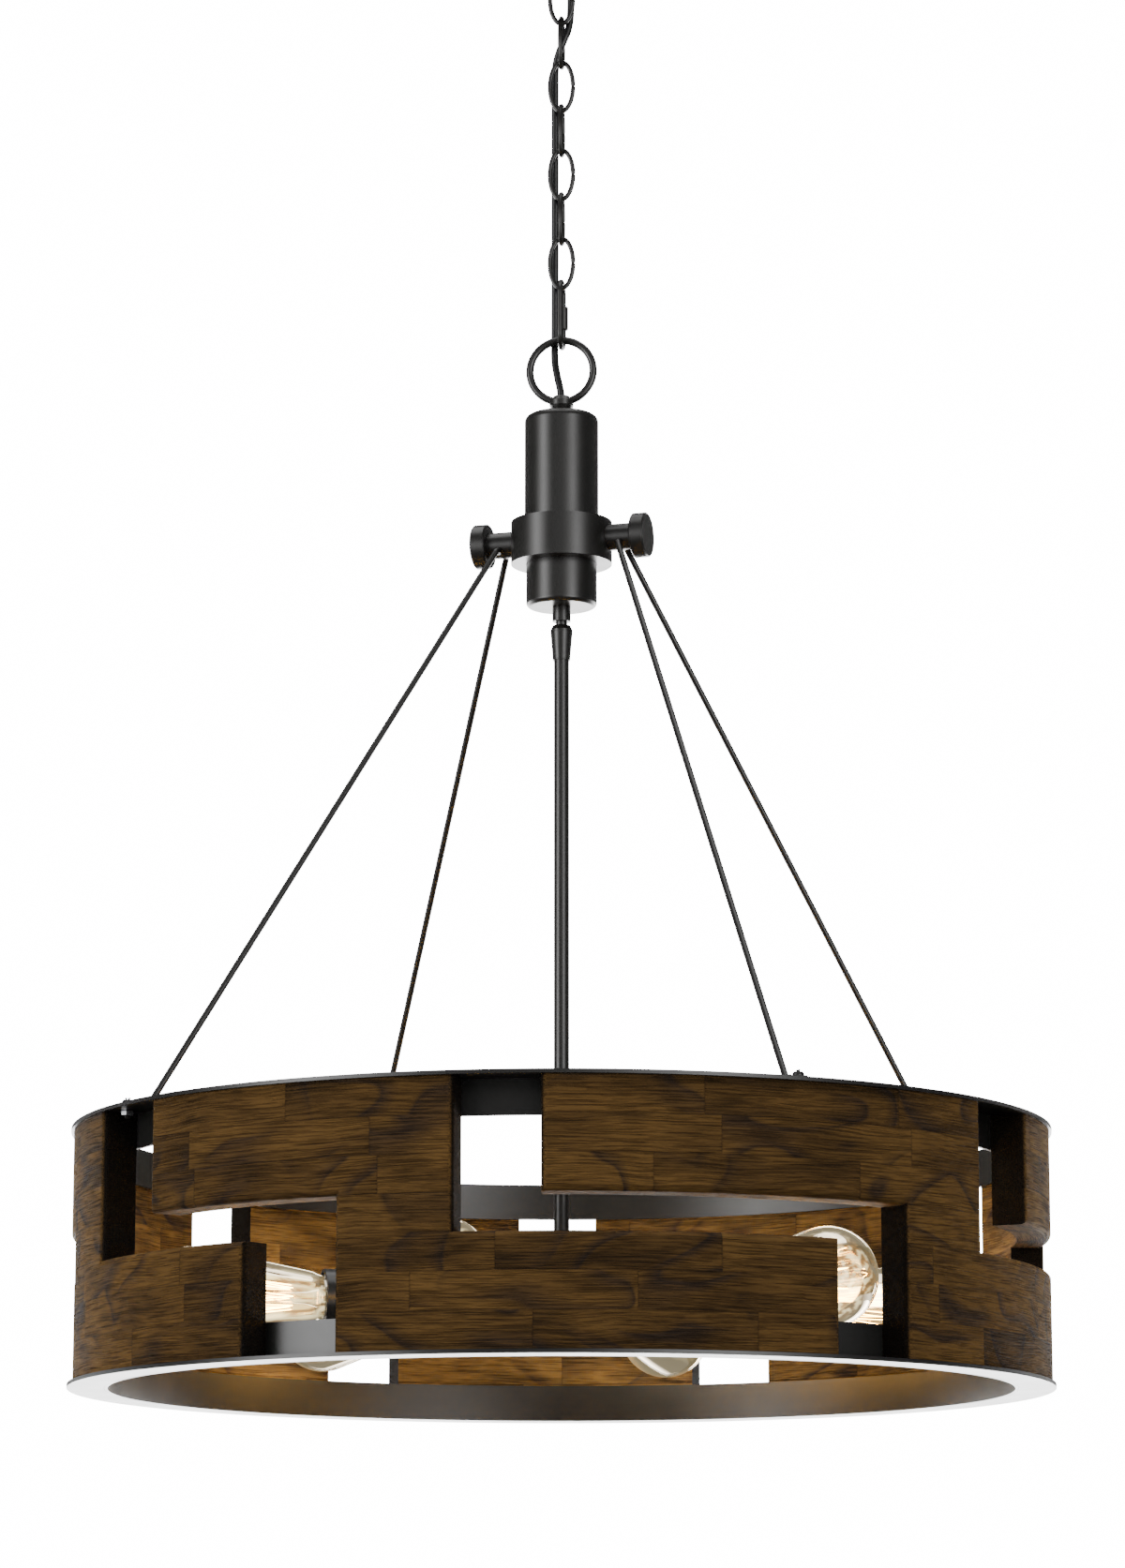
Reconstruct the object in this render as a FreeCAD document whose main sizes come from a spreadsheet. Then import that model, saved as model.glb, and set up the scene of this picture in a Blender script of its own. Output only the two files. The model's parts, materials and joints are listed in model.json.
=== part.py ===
import FreeCAD, Part
import math
import os
import Sketcher

# A drum chandelier: a wood and metal drum on four rods under a turned hub, with a lamp cluster of its
# own inside, hung by a chain from a ceiling canopy. Millimetres, +Z up, the origin in the ceiling plane
# on the chain's axis. +X runs along the hub's crossbar.

V = FreeCAD.Vector
X_AXIS, Y_AXIS, Z_AXIS = V(1, 0, 0), V(0, 1, 0), V(0, 0, 1)

# ---------------------------------------------------------------- driving dimensions

SIZES = {
    # clearances
    "overrun": 1,               # of a cutting tool past what it cuts
    "seat_gap": 0.2,            # flat faces of two bodies that rest on each other
    "thread_gap": 0.08,         # radial room in a thread or turning fit
    "link_gap": 0.3,            # between a hanging link and the wire that carries it
    # ceiling fitting
    "canopy_radius": 62.5,
    "canopy_height": 24,
    "canopy_wall": 1.2,
    "canopy_skirt": 7,          # upright part of the rim
    "canopy_crown_radius": 32,  # flat part round the hole
    "canopy_shoulder_width": 9.15,
    "canopy_shoulder_rise": 4,
    "strap_length": 110,
    "strap_width": 20,
    "strap_thickness": 2.5,
    "strap_recess": 0.5,        # below the ceiling plane
    "slot_spacing": 80,
    "slot_length": 20,
    "slot_width": 4.6,
    "ground_offset": 22,
    "nipple_radius": 4.75,
    "nipple_bore": 3.4,
    "canopy_nipple_length": 27,
    "nut_across_corners": 16,
    "nut_height": 4,
    "ring_nut_radius": 17,
    "ring_nut_height": 8,
    "ring_nut_chamfer": 1,
    "loop_thread_radius": 13,
    "loop_thread_height": 17,
    "loop_reveal": 0.8,         # of the threaded collar under the ring nut
    "canopy_loop_radius": 12,
    "canopy_loop_wire": 4,
    "canopy_loop_sink": 2,      # the ring's top inside the collar
    "cord_hole": 2.9,
    # chain
    "link_length": 38.8,
    "link_width": 19.4,
    "link_wire": 3.25,
    "quick_length": 50,
    "quick_width": 22,
    "quick_wire": 3.8,
    "quick_opening": 4.5,
    "sleeve_overlap": 0.5,      # of the closed sleeve past the opening's upper edge
    "sleeve_length": 17,
    "sleeve_radius": 3.4,
    "sleeve_chamfer": 0.7,
    "chain_turn": 10,           # of the chain about the vertical, from the crossbar
    "cord_diameter": 5,
    # hub
    "hang_radius": 24.5,
    "hang_wire": 5.2,
    "cap_radius": 8.25,
    "cap_height": 13.6,
    "cap_neck_radius": 6.5,
    "cap_neck_height": 3.4,
    "cap_flare_height": 6.8,
    "cap_shoulder_height": 10.2,
    "cap_crown_radius": 5.3625,
    "cap_bore_depth": 6.12,
    "cap_pipe_grip": 5.44,
    "cap_grip": 6.35,           # how far the ring's foot stands in the cap
    "cover_radius": 25.2,
    "cover_wall": 1.5,
    "cover_shoulder": 5,
    "cover_reveal": 75.7,       # visible above the collar
    "collar_radius": 34.4,
    "collar_height": 29.3,
    "collar_web": 8,            # plate in the middle of the collar
    "cup_radius": 24,
    "cup_wall": 1.5,
    "cup_edge": 3,
    "cup_reveal": 30,
    "boss_rise": 1.8,           # of the crossbar's axis above the collar's middle
    "boss_radius": 9,
    "boss_length": 17,
    "boss_root": 4,             # of its blank inside the collar's round
    "stud_radius": 3,
    "stud_grip": 8,
    "stud_reach": 6,            # into the knob
    "knob_radius": 15.25,
    "knob_thickness": 10,
    "knob_edge": 0.8,
    "hook_reach": 8.6,          # of the rods' hole from the collar
    "hook_drop": 5.8,           # of the rods' hole below the crossbar's axis
    "hook_start": 1.2,          # of the hook's end from the crossbar's axis
    "hook_proud": 1.6,          # of the hook's bend outside the boss
    "hook_bend_room": 1.4,      # its inside bend radius
    # rods and drum
    "rod_radius": 2.1,
    "rod_drop": 407.3,          # crossbar's axis to the drum's top
    "rod_angle": 45,
    "rod_tab_length": 17,
    "rod_tab_width": 8.4,
    "rod_tab_thickness": 2,
    "rod_foot_bend_room": 0.6,  # inside radius of the bend above the tab
    "rod_foot_lead": 2,         # of that bend ahead of the tab
    "rod_foot_overlap": 3,      # of the rod's end on the tab
    "screw_radius": 2,
    "screw_head_radius": 3.7,
    "screw_head_height": 2.6,
    "screw_crown_radius": 2.59, # top of a wood screw's head
    "rod_nut_corners": 8.1,
    "rod_nut_height": 3.2,
    "rod_screw_tip": 2.5,       # of the screw past its nut
    "drum_radius": 325,
    "drum_height": 170.2,
    "flange_width": 26.8,
    "flange_thickness": 2.5,
    "band_height": 25,
    "band_thickness": 2.3,
    "weld_groove": 0.35,
    "wood_setback": 1.9,        # of the wood from the flanges' edge
    "wood_gap": 0.2,            # between wood and band
    "wood_edge": 4,
    "slot_height": 23.6,
    "neck_angle": 13.5,
    "bar_gap_angle": 11.1,
    "pitch_angle": 67.8,        # from a block's neck to the next one's
    "first_neck_angle": -91.95,
    "turn_1": 0.95,             # how far each block stands off its regular place
    "turn_2": -0.7,
    "turn_3": 0.0,
    "turn_4": 0.1,
    "turn_5": -0.45,
    "turn_6": 0.2,
    "fastener_inset_angle": 8,
    "wood_screw_length": 30,
    "dowel_radius": 2.5,
    "dowel_length": 22,
    "nut_pocket_radius": 5.2,
    "nut_pocket_depth": 8,
    # lamp cluster
    "neck_tube_radius": 6.2,
    "neck_tube_length": 10,
    "neck_floor": 2,            # under the pipe's end
    "ball_neck_radius": 3.9,
    "ball_radius": 5.4,
    "ball_drop": 10,
    "lead_bore": 2.3,
    "coupling_radius": 7.45,
    "coupling_foot_wall": 0.72, # round the stem
    "coupling_length": 24,
    "coupling_lip": 0.8,
    "coupling_shoulder": 5,
    "coupling_crown": 3,
    "coupling_crown_inset": 1.4,
    "swivel_play": 0.3,         # round the ball's neck
    "swivel_flare": 1,
    "lead_play": 0.6,
    "coupling_rise": 7,         # of its top above the ball's centre
    "stem_radius": 5.15,
    "stem_bore": 3.6,
    "stem_clearance": 4,        # of its top below the ball
    "stem_reach": 4,            # of its foot inside the can
    "cluster_radius": 36,
    "cluster_height": 53,
    "cluster_wall": 2,
    "cluster_edge": 4,
    "cluster_top_rise": 27.5,   # above the bulbs' axis
    "finial_radius": 8,
    "finial_height": 6,
    "finial_tip_radius": 4,
    "finial_tip_height": 2.4,
    "bulb_rise": 58.5,          # bulbs' axis above the drum's foot
    "arm_radius": 5,
    "arm_bore": 3.5,
    "arm_reach": 1,             # inside the can's wall
    "cover_cup_radius": 19,
    "cover_cup_length": 48,
    "cover_cup_wall": 1.2,
    "cover_cup_shoulder": 6,
    "cover_cup_bend": 5,        # the shoulder on the inside
    "cover_cup_mouth": 160,     # distance of the sockets' mouths from the axis
    "holder_gap": 0.3,          # round the lamp holder and behind the bulb's base
    "shell_setback": 2,
    "bulb_base_radius": 13.2,
    "bulb_base_length": 25,
    "bulb_base_proud": 3,       # of the base's rim past the cup's mouth
    "bulb_base_wall": 0.7,
    "bulb_tip_radius": 5.28,
    "bulb_tip_height": 4,
    "bulb_fill_height": 5,
    "bulb_radius": 32,
    "bulb_centre": 246,         # widest part, from the lamp's axis
    "bulb_neck_radius": 14.2,
    "glass_grip": 12,           # of the glass inside the base
    "glass_grip_gap": 0.8,
    "glass_wall": 0.9,
    "mount_radius": 4,
    "mount_setback": 20,        # of its end from the bulb's widest part
    "connector_radius": 9,
    "connector_height": 18,
    "lead_radius": 1.2,
    "lead_setback": 2,          # of a lead's end from the bulb's tip
}

# Heights and derived sizes. Every height is measured from the ceiling plane.
PLACES = {
    "canopy_hole": "Size.loop_thread_radius + 3 * Size.seat_gap",
    "strap_bottom": "-Size.strap_recess - Size.strap_thickness",
    "nipple_bottom": "-Size.strap_recess - Size.canopy_nipple_length",
    "ring_nut_bottom": "-Size.canopy_height - Size.seat_gap - Size.ring_nut_height",
    "loop_foot": "Place.ring_nut_bottom - Size.loop_reveal",
    "loop_top": "Place.loop_foot + Size.loop_thread_height",
    "loop_centre": "Place.loop_foot - Size.canopy_loop_radius + Size.canopy_loop_sink",
    "chain_top": "Place.loop_centre - Size.canopy_loop_radius + Size.canopy_loop_wire"
                 " + Size.link_gap + Size.link_wire",
    "chain_pitch": "Size.link_length - 2 * Size.link_wire - Size.link_gap",
    "quick_top": "Place.chain_top - 6 * Place.chain_pitch - Size.link_length + Size.link_wire"
                 " + Size.link_gap + Size.quick_wire",
    "quick_centre": "Place.quick_top - Size.quick_length / 2",
    "hang_top": "Place.quick_top - Size.quick_length + Size.quick_wire + Size.link_gap + Size.hang_wire",
    "hang_centre": "Place.hang_top - Size.hang_radius",
    "cap_top": "Place.hang_centre - Size.hang_radius + Size.cap_grip",
    "cover_top": "Place.cap_top - Size.cap_height",
    "collar_top": "Place.cover_top - Size.cover_reveal",
    "collar_foot": "Place.collar_top - Size.collar_height",
    "web_top": "Place.collar_top - (Size.collar_height - Size.collar_web) / 2",
    "web_foot": "Place.web_top - Size.collar_web",
    "cup_foot": "Place.collar_foot - Size.cup_reveal",
    "boss_level": "Place.collar_top - Size.collar_height / 2 + Size.boss_rise",
    "boss_end": "Size.collar_radius + Size.boss_length",
    "hook_offset": "Size.collar_radius + Size.hook_reach",
    "hook_level": "Place.boss_level - Size.hook_drop",
    "drum_top": "Place.boss_level - Size.rod_drop",
    "drum_foot": "Place.drum_top - Size.drum_height",
    "ring_inner": "Size.drum_radius - Size.flange_width",
    "band_outer": "Place.ring_inner + Size.band_thickness",
    "wood_outer": "Size.drum_radius - Size.wood_setback",
    "wood_inner": "Place.band_outer + Size.wood_gap",
    "wood_middle": "(Place.wood_outer + Place.wood_inner) / 2",
    "wood_foot": "Place.drum_foot + Size.flange_thickness",
    "wood_top": "Place.drum_top - Size.flange_thickness",
    "bar_height": "(Size.drum_height - 2 * Size.flange_thickness - Size.slot_height) / 2",
    "long_bar_angle": "Size.pitch_angle - Size.bar_gap_angle",
    "short_bar_angle": "120 - Size.pitch_angle - Size.bar_gap_angle",
    "neck_foot": "Place.cup_foot - Size.neck_tube_length",
    "ball_centre": "Place.neck_foot - Size.ball_drop",
    "ball_seat": "Size.ball_radius + Size.thread_gap",
    "coupling_top": "Place.ball_centre + Size.coupling_rise",
    "coupling_foot": "Place.coupling_top - Size.coupling_length",
    "coupling_foot_radius": "Size.stem_radius + Size.thread_gap + Size.coupling_foot_wall",
    "bulb_level": "Place.drum_foot + Size.bulb_rise",
    "cluster_top": "Place.bulb_level + Size.cluster_top_rise",
    "cluster_foot": "Place.cluster_top - Size.cluster_height",
    "stem_top": "Place.ball_centre - Size.ball_radius - Size.stem_clearance",
    "stem_foot": "Place.cluster_top - Size.cluster_wall - Size.stem_reach",
    "cover_back": "Size.cover_cup_mouth - Size.cover_cup_length",
    "holder_radius": "Size.cover_cup_radius - Size.cover_cup_wall - Size.holder_gap",
    "holder_back": "Place.cover_back + Size.cover_cup_shoulder",
    "base_mouth": "Size.cover_cup_mouth + Size.bulb_base_proud",
    "base_tip": "Place.base_mouth - Size.bulb_base_length",
    "cone_length": "Size.bulb_centre - Place.base_mouth",
    "cone_reach": "Place.cone_length ^ 2 + Size.bulb_neck_radius ^ 2",
    "cone_root": "sqrt(Place.cone_reach - Size.bulb_radius ^ 2)",
    "cone_sine": "(Size.bulb_radius * Place.cone_length - Size.bulb_neck_radius * Place.cone_root)"
                 " / Place.cone_reach",
    "cone_cosine": "(Size.bulb_radius * Size.bulb_neck_radius + Place.cone_length * Place.cone_root)"
                   " / Place.cone_reach",
}

# ---------------------------------------------------------------- document and its helpers

doc = FreeCAD.newDocument("DrumChandelier")
sheet = doc.addObject("Spreadsheet::Sheet", "Size")
for row, (alias, value) in enumerate(SIZES.items(), 1):
    sheet.set("A%d" % row, alias.replace("_", " "))
    sheet.set("B%d" % row, str(value))
    sheet.setAlias("B%d" % row, alias)
doc.recompute()

place = doc.addObject("App::VarSet", "Place")
for name, formula in PLACES.items():
    place.addProperty("App::PropertyFloat", name)
    place.setExpression(name, formula)
doc.recompute()

nodes = []


def size(alias):
    """A driving dimension, read back from the sheet."""
    return float(sheet.get(alias))


def at(name):
    """A height or derived size."""
    return float(getattr(place, name))


def node(thing, name):
    """Marks a finished sub-part, whose label names its file."""
    thing.Label = name
    nodes.append(thing)
    return thing


def bind(thing, **formulas):
    """Binds properties to formulas of the sheet's cells."""
    for name, formula in formulas.items():
        thing.setExpression(name, formula)
    return thing


def moved(thing, x="0", y="0", z="0", axis=Z_AXIS):
    """Places a thing by formulas, laid over by a quarter turn if an axis other than Z is given."""
    angle = 0 if axis == Z_AXIS else 90
    return placed(thing, FreeCAD.Rotation(axis, angle), x, y, z)


def placed(thing, rotation, x="0", y="0", z="0"):
    """Turns a thing, and places it by formulas."""
    thing.Placement = FreeCAD.Placement(V(), rotation)
    for axis, formula in (("x", x), ("y", y), ("z", z)):
        if formula != "0":
            thing.setExpression("Placement.Base." + axis, formula)
    return thing


def cylinder(name, radius, height, **where):
    made = bind(doc.addObject("Part::Cylinder", name), Radius=radius, Height=height)
    return moved(made, **where)


def cone(name, radius_1, radius_2, height, **where):
    made = bind(doc.addObject("Part::Cone", name), Radius1=radius_1, Radius2=radius_2, Height=height)
    return moved(made, **where)


def sphere(name, radius, **where):
    return moved(bind(doc.addObject("Part::Sphere", name), Radius=radius), **where)


def box(name, length, width, height, **where):
    made = bind(doc.addObject("Part::Box", name), Length=length, Width=width, Height=height)
    return moved(made, **where)


def prism(name, corners, height, **where):
    """A hexagonal bar, sized across its corners."""
    made = bind(doc.addObject("Part::Prism", name), Circumradius="(%s) / 2" % corners, Height=height)
    made.Polygon = 6
    return moved(made, **where)


def fuse(name, *parts):
    made = doc.addObject("Part::MultiFuse", name)
    made.Shapes = list(parts)
    made.Refine = True
    return made


def cut(name, base, tool):
    made = doc.addObject("Part::Cut", name)
    made.Base = base
    made.Tool = tool
    return made


def plane(body, role):
    """One of a body's own origin planes."""
    return next(feature for feature in body.Origin.OriginFeatures if feature.Role == role)


def turned(name, outline, level="0"):
    """A lathe-turned piece: a closed outline of (radius, height) formulas, revolved about Z."""
    body = doc.addObject("PartDesign::Body", name)
    sketch = body.newObject("Sketcher::SketchObject", name + "_section")
    sketch.AttachmentSupport = [(plane(body, "XZ_Plane"), "")]
    sketch.MapMode = "FlatFace"
    count = len(outline)
    turns = [2 * math.pi * index / count for index in range(count)]
    corners = [V(10 + 5 * math.cos(angle), 5 * math.sin(angle), 0) for angle in turns]
    for index in range(count):
        sketch.addGeometry(Part.LineSegment(corners[index], corners[(index + 1) % count]), False)
    for index in range(count):
        sketch.addConstraint(Sketcher.Constraint("Coincident", index, 2, (index + 1) % count, 1))
    for index, (radius, height) in enumerate(outline):
        for formula, kind, axis, start in (
            (radius, "DistanceX", -2, corners[index].x),
            (height, "DistanceY", -1, corners[index].y),
        ):
            if formula == "0":
                sketch.addConstraint(Sketcher.Constraint("PointOnObject", index, 1, axis))
            else:
                number = sketch.addConstraint(Sketcher.Constraint(kind, -1, 1, index, 1, start))
                sketch.setExpression("Constraints[%d]" % number, formula)
    revolution = body.newObject("PartDesign::Revolution", name + "_turned")
    revolution.Profile = sketch
    revolution.ReferenceAxis = (sketch, ["V_Axis"])
    revolution.Angle = 360
    return moved(body, z=level)


def rounded(body, radius, circles):
    """Rounds the circular edges of a turned body that lie at the given (radius, height) places."""
    doc.recompute()
    base = body.Tip
    wanted = []
    for number, edge in enumerate(base.Shape.Edges, 1):
        circle = edge.Curve
        if not isinstance(circle, Part.Circle):
            continue
        for ring_radius, height in circles:
            if abs(circle.Radius - ring_radius) < 0.01 and abs(circle.Center.z - height) < 0.01:
                wanted.append("Edge%d" % number)
    fillet = body.newObject("PartDesign::Fillet", base.Name + "_rounded")
    fillet.Base = (base, wanted)
    bind(fillet, Radius=radius)
    body.Tip = fillet
    return body


def feature(name, shape, placement=None):
    """A piece whose shape is worked out here and not by a feature of its own."""
    made = doc.addObject("Part::Feature", name)
    made.Shape = shape
    if placement is not None:
        made.Placement = placement.multiply(shape.Placement)
    return made


def turn_about_z(angle, x=0.0, y=0.0, z=0.0):
    """A placement that first shifts, then turns about the vertical axis."""
    turn = FreeCAD.Placement(V(), FreeCAD.Rotation(Z_AXIS, angle))
    return turn.multiply(FreeCAD.Placement(V(x, y, z), FreeCAD.Rotation()))


def group(name, master, placements):
    """Identical pieces as one group of separate solids: a copy of the master at each placement."""
    doc.recompute()
    copies = []
    for placement in placements:
        copies.append(master.Shape.transformed(placement.toMatrix(), True))
    return feature(name, Part.Compound(copies))


def tube_along(points, radii, radius):
    """A tube along straight runs joined by tangent arcs, with one arc radius for each inner point."""
    edges = []
    start = points[0]
    for index in range(1, len(points) - 1):
        corner = points[index]
        back = (points[index - 1] - corner).normalize()
        ahead = (points[index + 1] - corner).normalize()
        half_turn = (math.pi - back.getAngle(ahead)) / 2
        reach = radii[index - 1] * math.tan(half_turn)
        entry = corner + back * reach
        leave = corner + ahead * reach
        inward = (back + ahead).normalize()
        middle_distance = radii[index - 1] / math.cos(half_turn) - radii[index - 1]
        edges.append(Part.LineSegment(start, entry).toShape())
        edges.append(Part.Arc(entry, corner + inward * middle_distance, leave).toShape())
        start = leave
    edges.append(Part.LineSegment(start, points[-1]).toShape())
    path = Part.Wire(edges)
    heading = points[1] - points[0]
    section = Part.Wire([Part.Circle(points[0], heading, radius).toShape()])
    tube = path.makePipeShell([section], True, False)
    return tube, path.Length


def widest_radii(points):
    """The largest arc at each inner point: 0.45 of the shorter run over the tangent of half the turn."""
    radii = []
    for index in range(1, len(points) - 1):
        back = points[index - 1] - points[index]
        ahead = points[index + 1] - points[index]
        half_turn = (math.pi - back.getAngle(ahead)) / 2
        radii.append(0.45 * min(back.Length, ahead.Length) / math.tan(half_turn))
    return radii


# ---------------------------------------------------------------- ceiling fitting


def make_strap():
    """Flat bar with a tapped middle and one slot towards each end."""
    bar = box("strap_bar", "Size.strap_length", "Size.strap_width", "Size.strap_thickness",
              x="-Size.strap_length / 2", y="-Size.strap_width / 2", z="Place.strap_bottom")
    height = "Size.strap_thickness + 2 * Size.overrun"
    level = "Place.strap_bottom - Size.overrun"
    cutters = [cylinder("strap_bore", "Size.nipple_radius + Size.thread_gap", height, z=level)]
    ground = cylinder("ground_bore", "Size.screw_radius + Size.thread_gap", height,
                      x="-Size.ground_offset", z=level)
    cutters.append(ground)
    straight = "(Size.slot_length - Size.slot_width)"
    for side, sign in (("left", "-"), ("right", "")):
        middle = sign + "Size.slot_spacing / 2"
        cutters.append(box("slot_" + side, straight, "Size.slot_width", height,
                           x="%s - %s / 2" % (middle, straight), y="-Size.slot_width / 2", z=level))
        for end, shift in (("inner", "-"), ("outer", "+")):
            cutters.append(cylinder("slot_%s_%s" % (side, end), "Size.slot_width / 2", height,
                                    x="%s %s %s / 2" % (middle, shift, straight), z=level))
    node(cut("strap", bar, fuse("strap_cutters", *cutters)), "mounting_strap")

    head = cylinder("ground_head", "Size.screw_head_radius", "Size.screw_head_height",
                    x="-Size.ground_offset", z="Place.strap_bottom - Size.screw_head_height")
    shank = cylinder("ground_shank", "Size.screw_radius", "Size.strap_thickness + Size.overrun",
                     x="-Size.ground_offset", z="Place.strap_bottom - Size.overrun")
    node(fuse("ground", head, shank), "ground_screw")


def make_canopy():
    """The threaded pipe, its nut, the ceiling cover, the ring nut under it and the loop for the chain."""
    node(turned("canopy_pipe", [
        ("Size.nipple_bore", "0"),
        ("Size.nipple_radius", "0"),
        ("Size.nipple_radius", "Size.canopy_nipple_length"),
        ("Size.nipple_bore", "Size.canopy_nipple_length"),
    ], "Place.nipple_bottom"), "canopy_nipple")

    nut_level = "Place.strap_bottom - Size.nut_height"
    nut = prism("strap_nut_blank", "Size.nut_across_corners", "Size.nut_height", z=nut_level)
    bore = cylinder("strap_nut_bore", "Size.nipple_radius + Size.thread_gap",
                    "Size.nut_height + 2 * Size.overrun", z=nut_level + " - Size.overrun")
    node(cut("strap_nut", nut, bore), "nipple_nut")

    shoulder = "Size.canopy_radius - Size.canopy_shoulder_width"
    wall = "Size.canopy_wall"
    low = "-Size.canopy_height"
    rise = "%s + Size.canopy_shoulder_rise" % low
    cover = turned("canopy_sheet", [
        ("Size.canopy_radius", "0"),
        ("Size.canopy_radius", "-Size.canopy_skirt"),
        (shoulder, rise),
        ("Size.canopy_crown_radius", low),
        ("Place.canopy_hole", low),
        ("Place.canopy_hole", "%s + %s" % (low, wall)),
        ("Size.canopy_crown_radius", "%s + %s" % (low, wall)),
        ("%s - %s" % (shoulder, wall), "%s + %s" % (rise, wall)),
        ("Size.canopy_radius - " + wall, "-Size.canopy_skirt + %s / 2" % wall),
        ("Size.canopy_radius - " + wall, "0"),
    ])
    node(cover, "canopy")

    node(turned("ring_nut", [
        ("Size.loop_thread_radius + Size.thread_gap", "0"),
        ("Size.ring_nut_radius - Size.ring_nut_chamfer", "0"),
        ("Size.ring_nut_radius", "Size.ring_nut_chamfer"),
        ("Size.ring_nut_radius", "Size.ring_nut_height"),
        ("Size.loop_thread_radius + Size.thread_gap", "Size.ring_nut_height"),
    ], "Place.ring_nut_bottom"), "canopy_ring_nut")

    collar = cylinder("loop_collar", "Size.loop_thread_radius", "Size.loop_thread_height",
                      z="Place.loop_foot")
    ring = bind(doc.addObject("Part::Torus", "loop_ring"),
                Radius1="Size.canopy_loop_radius - Size.canopy_loop_wire / 2",
                Radius2="Size.canopy_loop_wire / 2")
    upright = FreeCAD.Rotation(Z_AXIS, size("chain_turn")).multiply(FreeCAD.Rotation(Y_AXIS, 90))
    placed(ring, upright, z="Place.loop_centre")
    bore = cylinder("loop_bore", "Size.nipple_radius + Size.thread_gap",
                    "Place.loop_top - Place.nipple_bottom + Size.seat_gap",
                    z="Place.nipple_bottom - Size.seat_gap")
    cord_way = cylinder("loop_cord_way", "Size.cord_hole",
                        "Size.loop_thread_height + Size.canopy_loop_wire + 2 * Size.overrun",
                        z="Place.loop_foot - Size.canopy_loop_wire - Size.overrun")
    node(cut("loop", fuse("loop_blank", collar, ring), fuse("loop_ways", bore, cord_way)), "canopy_loop")


# ---------------------------------------------------------------- chain


def make_link(name):
    """An oval link in the XZ plane about the origin: two half rings joined by two straight legs."""
    wire = "Size.%s_wire" % name
    straight = "(Size.%s_length - Size.%s_width)" % (name, name)
    middle = "(Size.%s_width - %s) / 2" % (name, wire)
    pieces = []
    for end, sign, tilt in (("top", "", 90), ("foot", "-", -90)):
        bend = bind(doc.addObject("Part::Torus", "%s_%s" % (name, end)),
                    Radius1=middle, Radius2=wire + " / 2")
        bend.Angle3 = 180
        pieces.append(placed(bend, FreeCAD.Rotation(X_AXIS, tilt), z="%s%s / 2" % (sign, straight)))
    for side, sign in (("left", "-"), ("right", "")):
        pieces.append(cylinder("%s_%s" % (name, side), wire + " / 2", straight,
                               x=sign + middle, z="-%s / 2" % straight))
    return fuse(name, *pieces)


def make_chain():
    """Seven oval links, each turned a quarter from the last, and the quick link with its sleeve."""
    link = make_link("link")
    doc.recompute()
    for number in range(1, 8):
        level = at("chain_top") - (number - 1) * at("chain_pitch") - size("link_length") / 2
        quarter = 0 if number % 2 else 90
        spot = FreeCAD.Placement(V(0, 0, level), FreeCAD.Rotation(Z_AXIS, size("chain_turn") + quarter))
        node(feature("link_%d" % number, link.Shape.copy(), spot), "chain_link_%d" % number)

    quick = make_link("quick")
    leg = "(Size.quick_width - Size.quick_wire) / 2"
    across = "Size.quick_wire + 2 * Size.overrun"
    opening = box("quick_gap", across, across, "Size.quick_opening",
                  x="%s - (%s) / 2" % (leg, across), y="-(%s) / 2" % across,
                  z="Size.sleeve_length / 2 - Size.sleeve_overlap - Size.quick_opening")
    body = cut("quick_open", quick, opening)
    sleeve = turned("sleeve", [
        ("Size.quick_wire / 2 + Size.thread_gap / 2", "0"),
        ("Size.sleeve_radius - Size.sleeve_chamfer", "0"),
        ("Size.sleeve_radius", "Size.sleeve_chamfer"),
        ("Size.sleeve_radius", "Size.sleeve_length - Size.sleeve_chamfer"),
        ("Size.sleeve_radius - Size.sleeve_chamfer", "Size.sleeve_length"),
        ("Size.quick_wire / 2 + Size.thread_gap / 2", "Size.sleeve_length"),
    ])
    doc.recompute()
    turn = FreeCAD.Rotation(Z_AXIS, size("chain_turn") + 90)
    middle = V(0, 0, at("quick_centre"))
    node(feature("quick_whole", body.Shape.copy(), FreeCAD.Placement(middle, turn)), "quick_link")
    leg_offset = (size("quick_width") - size("quick_wire")) / 2
    offset = turn.multVec(V(leg_offset, 0, 0)) + middle - V(0, 0, size("sleeve_length") / 2)
    node(feature("quick_sleeve", sleeve.Shape.copy(), FreeCAD.Placement(offset, turn)),
         "quick_link_nut")


# The lamp cord's route, as (across, behind, height) from the chain's axis, in the chain's own turn:
# across runs along the links that face the front, behind points away from it. It comes out of the
# canopy loop, crosses the second link from right to left, runs straight down behind the others' left
# legs, passes behind the hanging ring's top and comes forward into the ring's tapped foot.
CORD_ROUTE = [
    (0.0, 0.0, -1.5),
    (0.0, 0.0, -38.4),
    (4.8, 4.8, -49.0),
    (5.9, 7.2, -65.0),
    (5.2, 5.3, -86.0),
    (-0.1, 3.0, -99.0),
    (-5.2, 5.4, -112.0),
    (-5.2, 5.5, -130.0),
    (-5.2, 5.7, -308.0),
    (-5.7, 5.4, -325.0),
    (-3.5, 2.5, -338.5),
    (0.0, 0.0, -352.0),
    (0.2, 0.2, -372.0),
    (0.0, 0.0, -500.0),
]


def make_cord():
    """The lamp cord, whole from the canopy's pipe to the foot of the hub's pipe."""
    turn = FreeCAD.Rotation(Z_AXIS, size("chain_turn"))
    points = [turn.multVec(V(*point)) for point in CORD_ROUTE]
    radii = widest_radii(points)
    radius = size("cord_diameter") / 2
    tube, length = tube_along(points, radii, radius)
    print("cord: arc radii", [round(value, 1) for value in radii], "length", round(length, 1))
    print("cord: volume over section times length", round(tube.Volume / (math.pi * radius ** 2 * length), 5))
    node(feature("cord", tube), "power_cord")


# ---------------------------------------------------------------- hub


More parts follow.
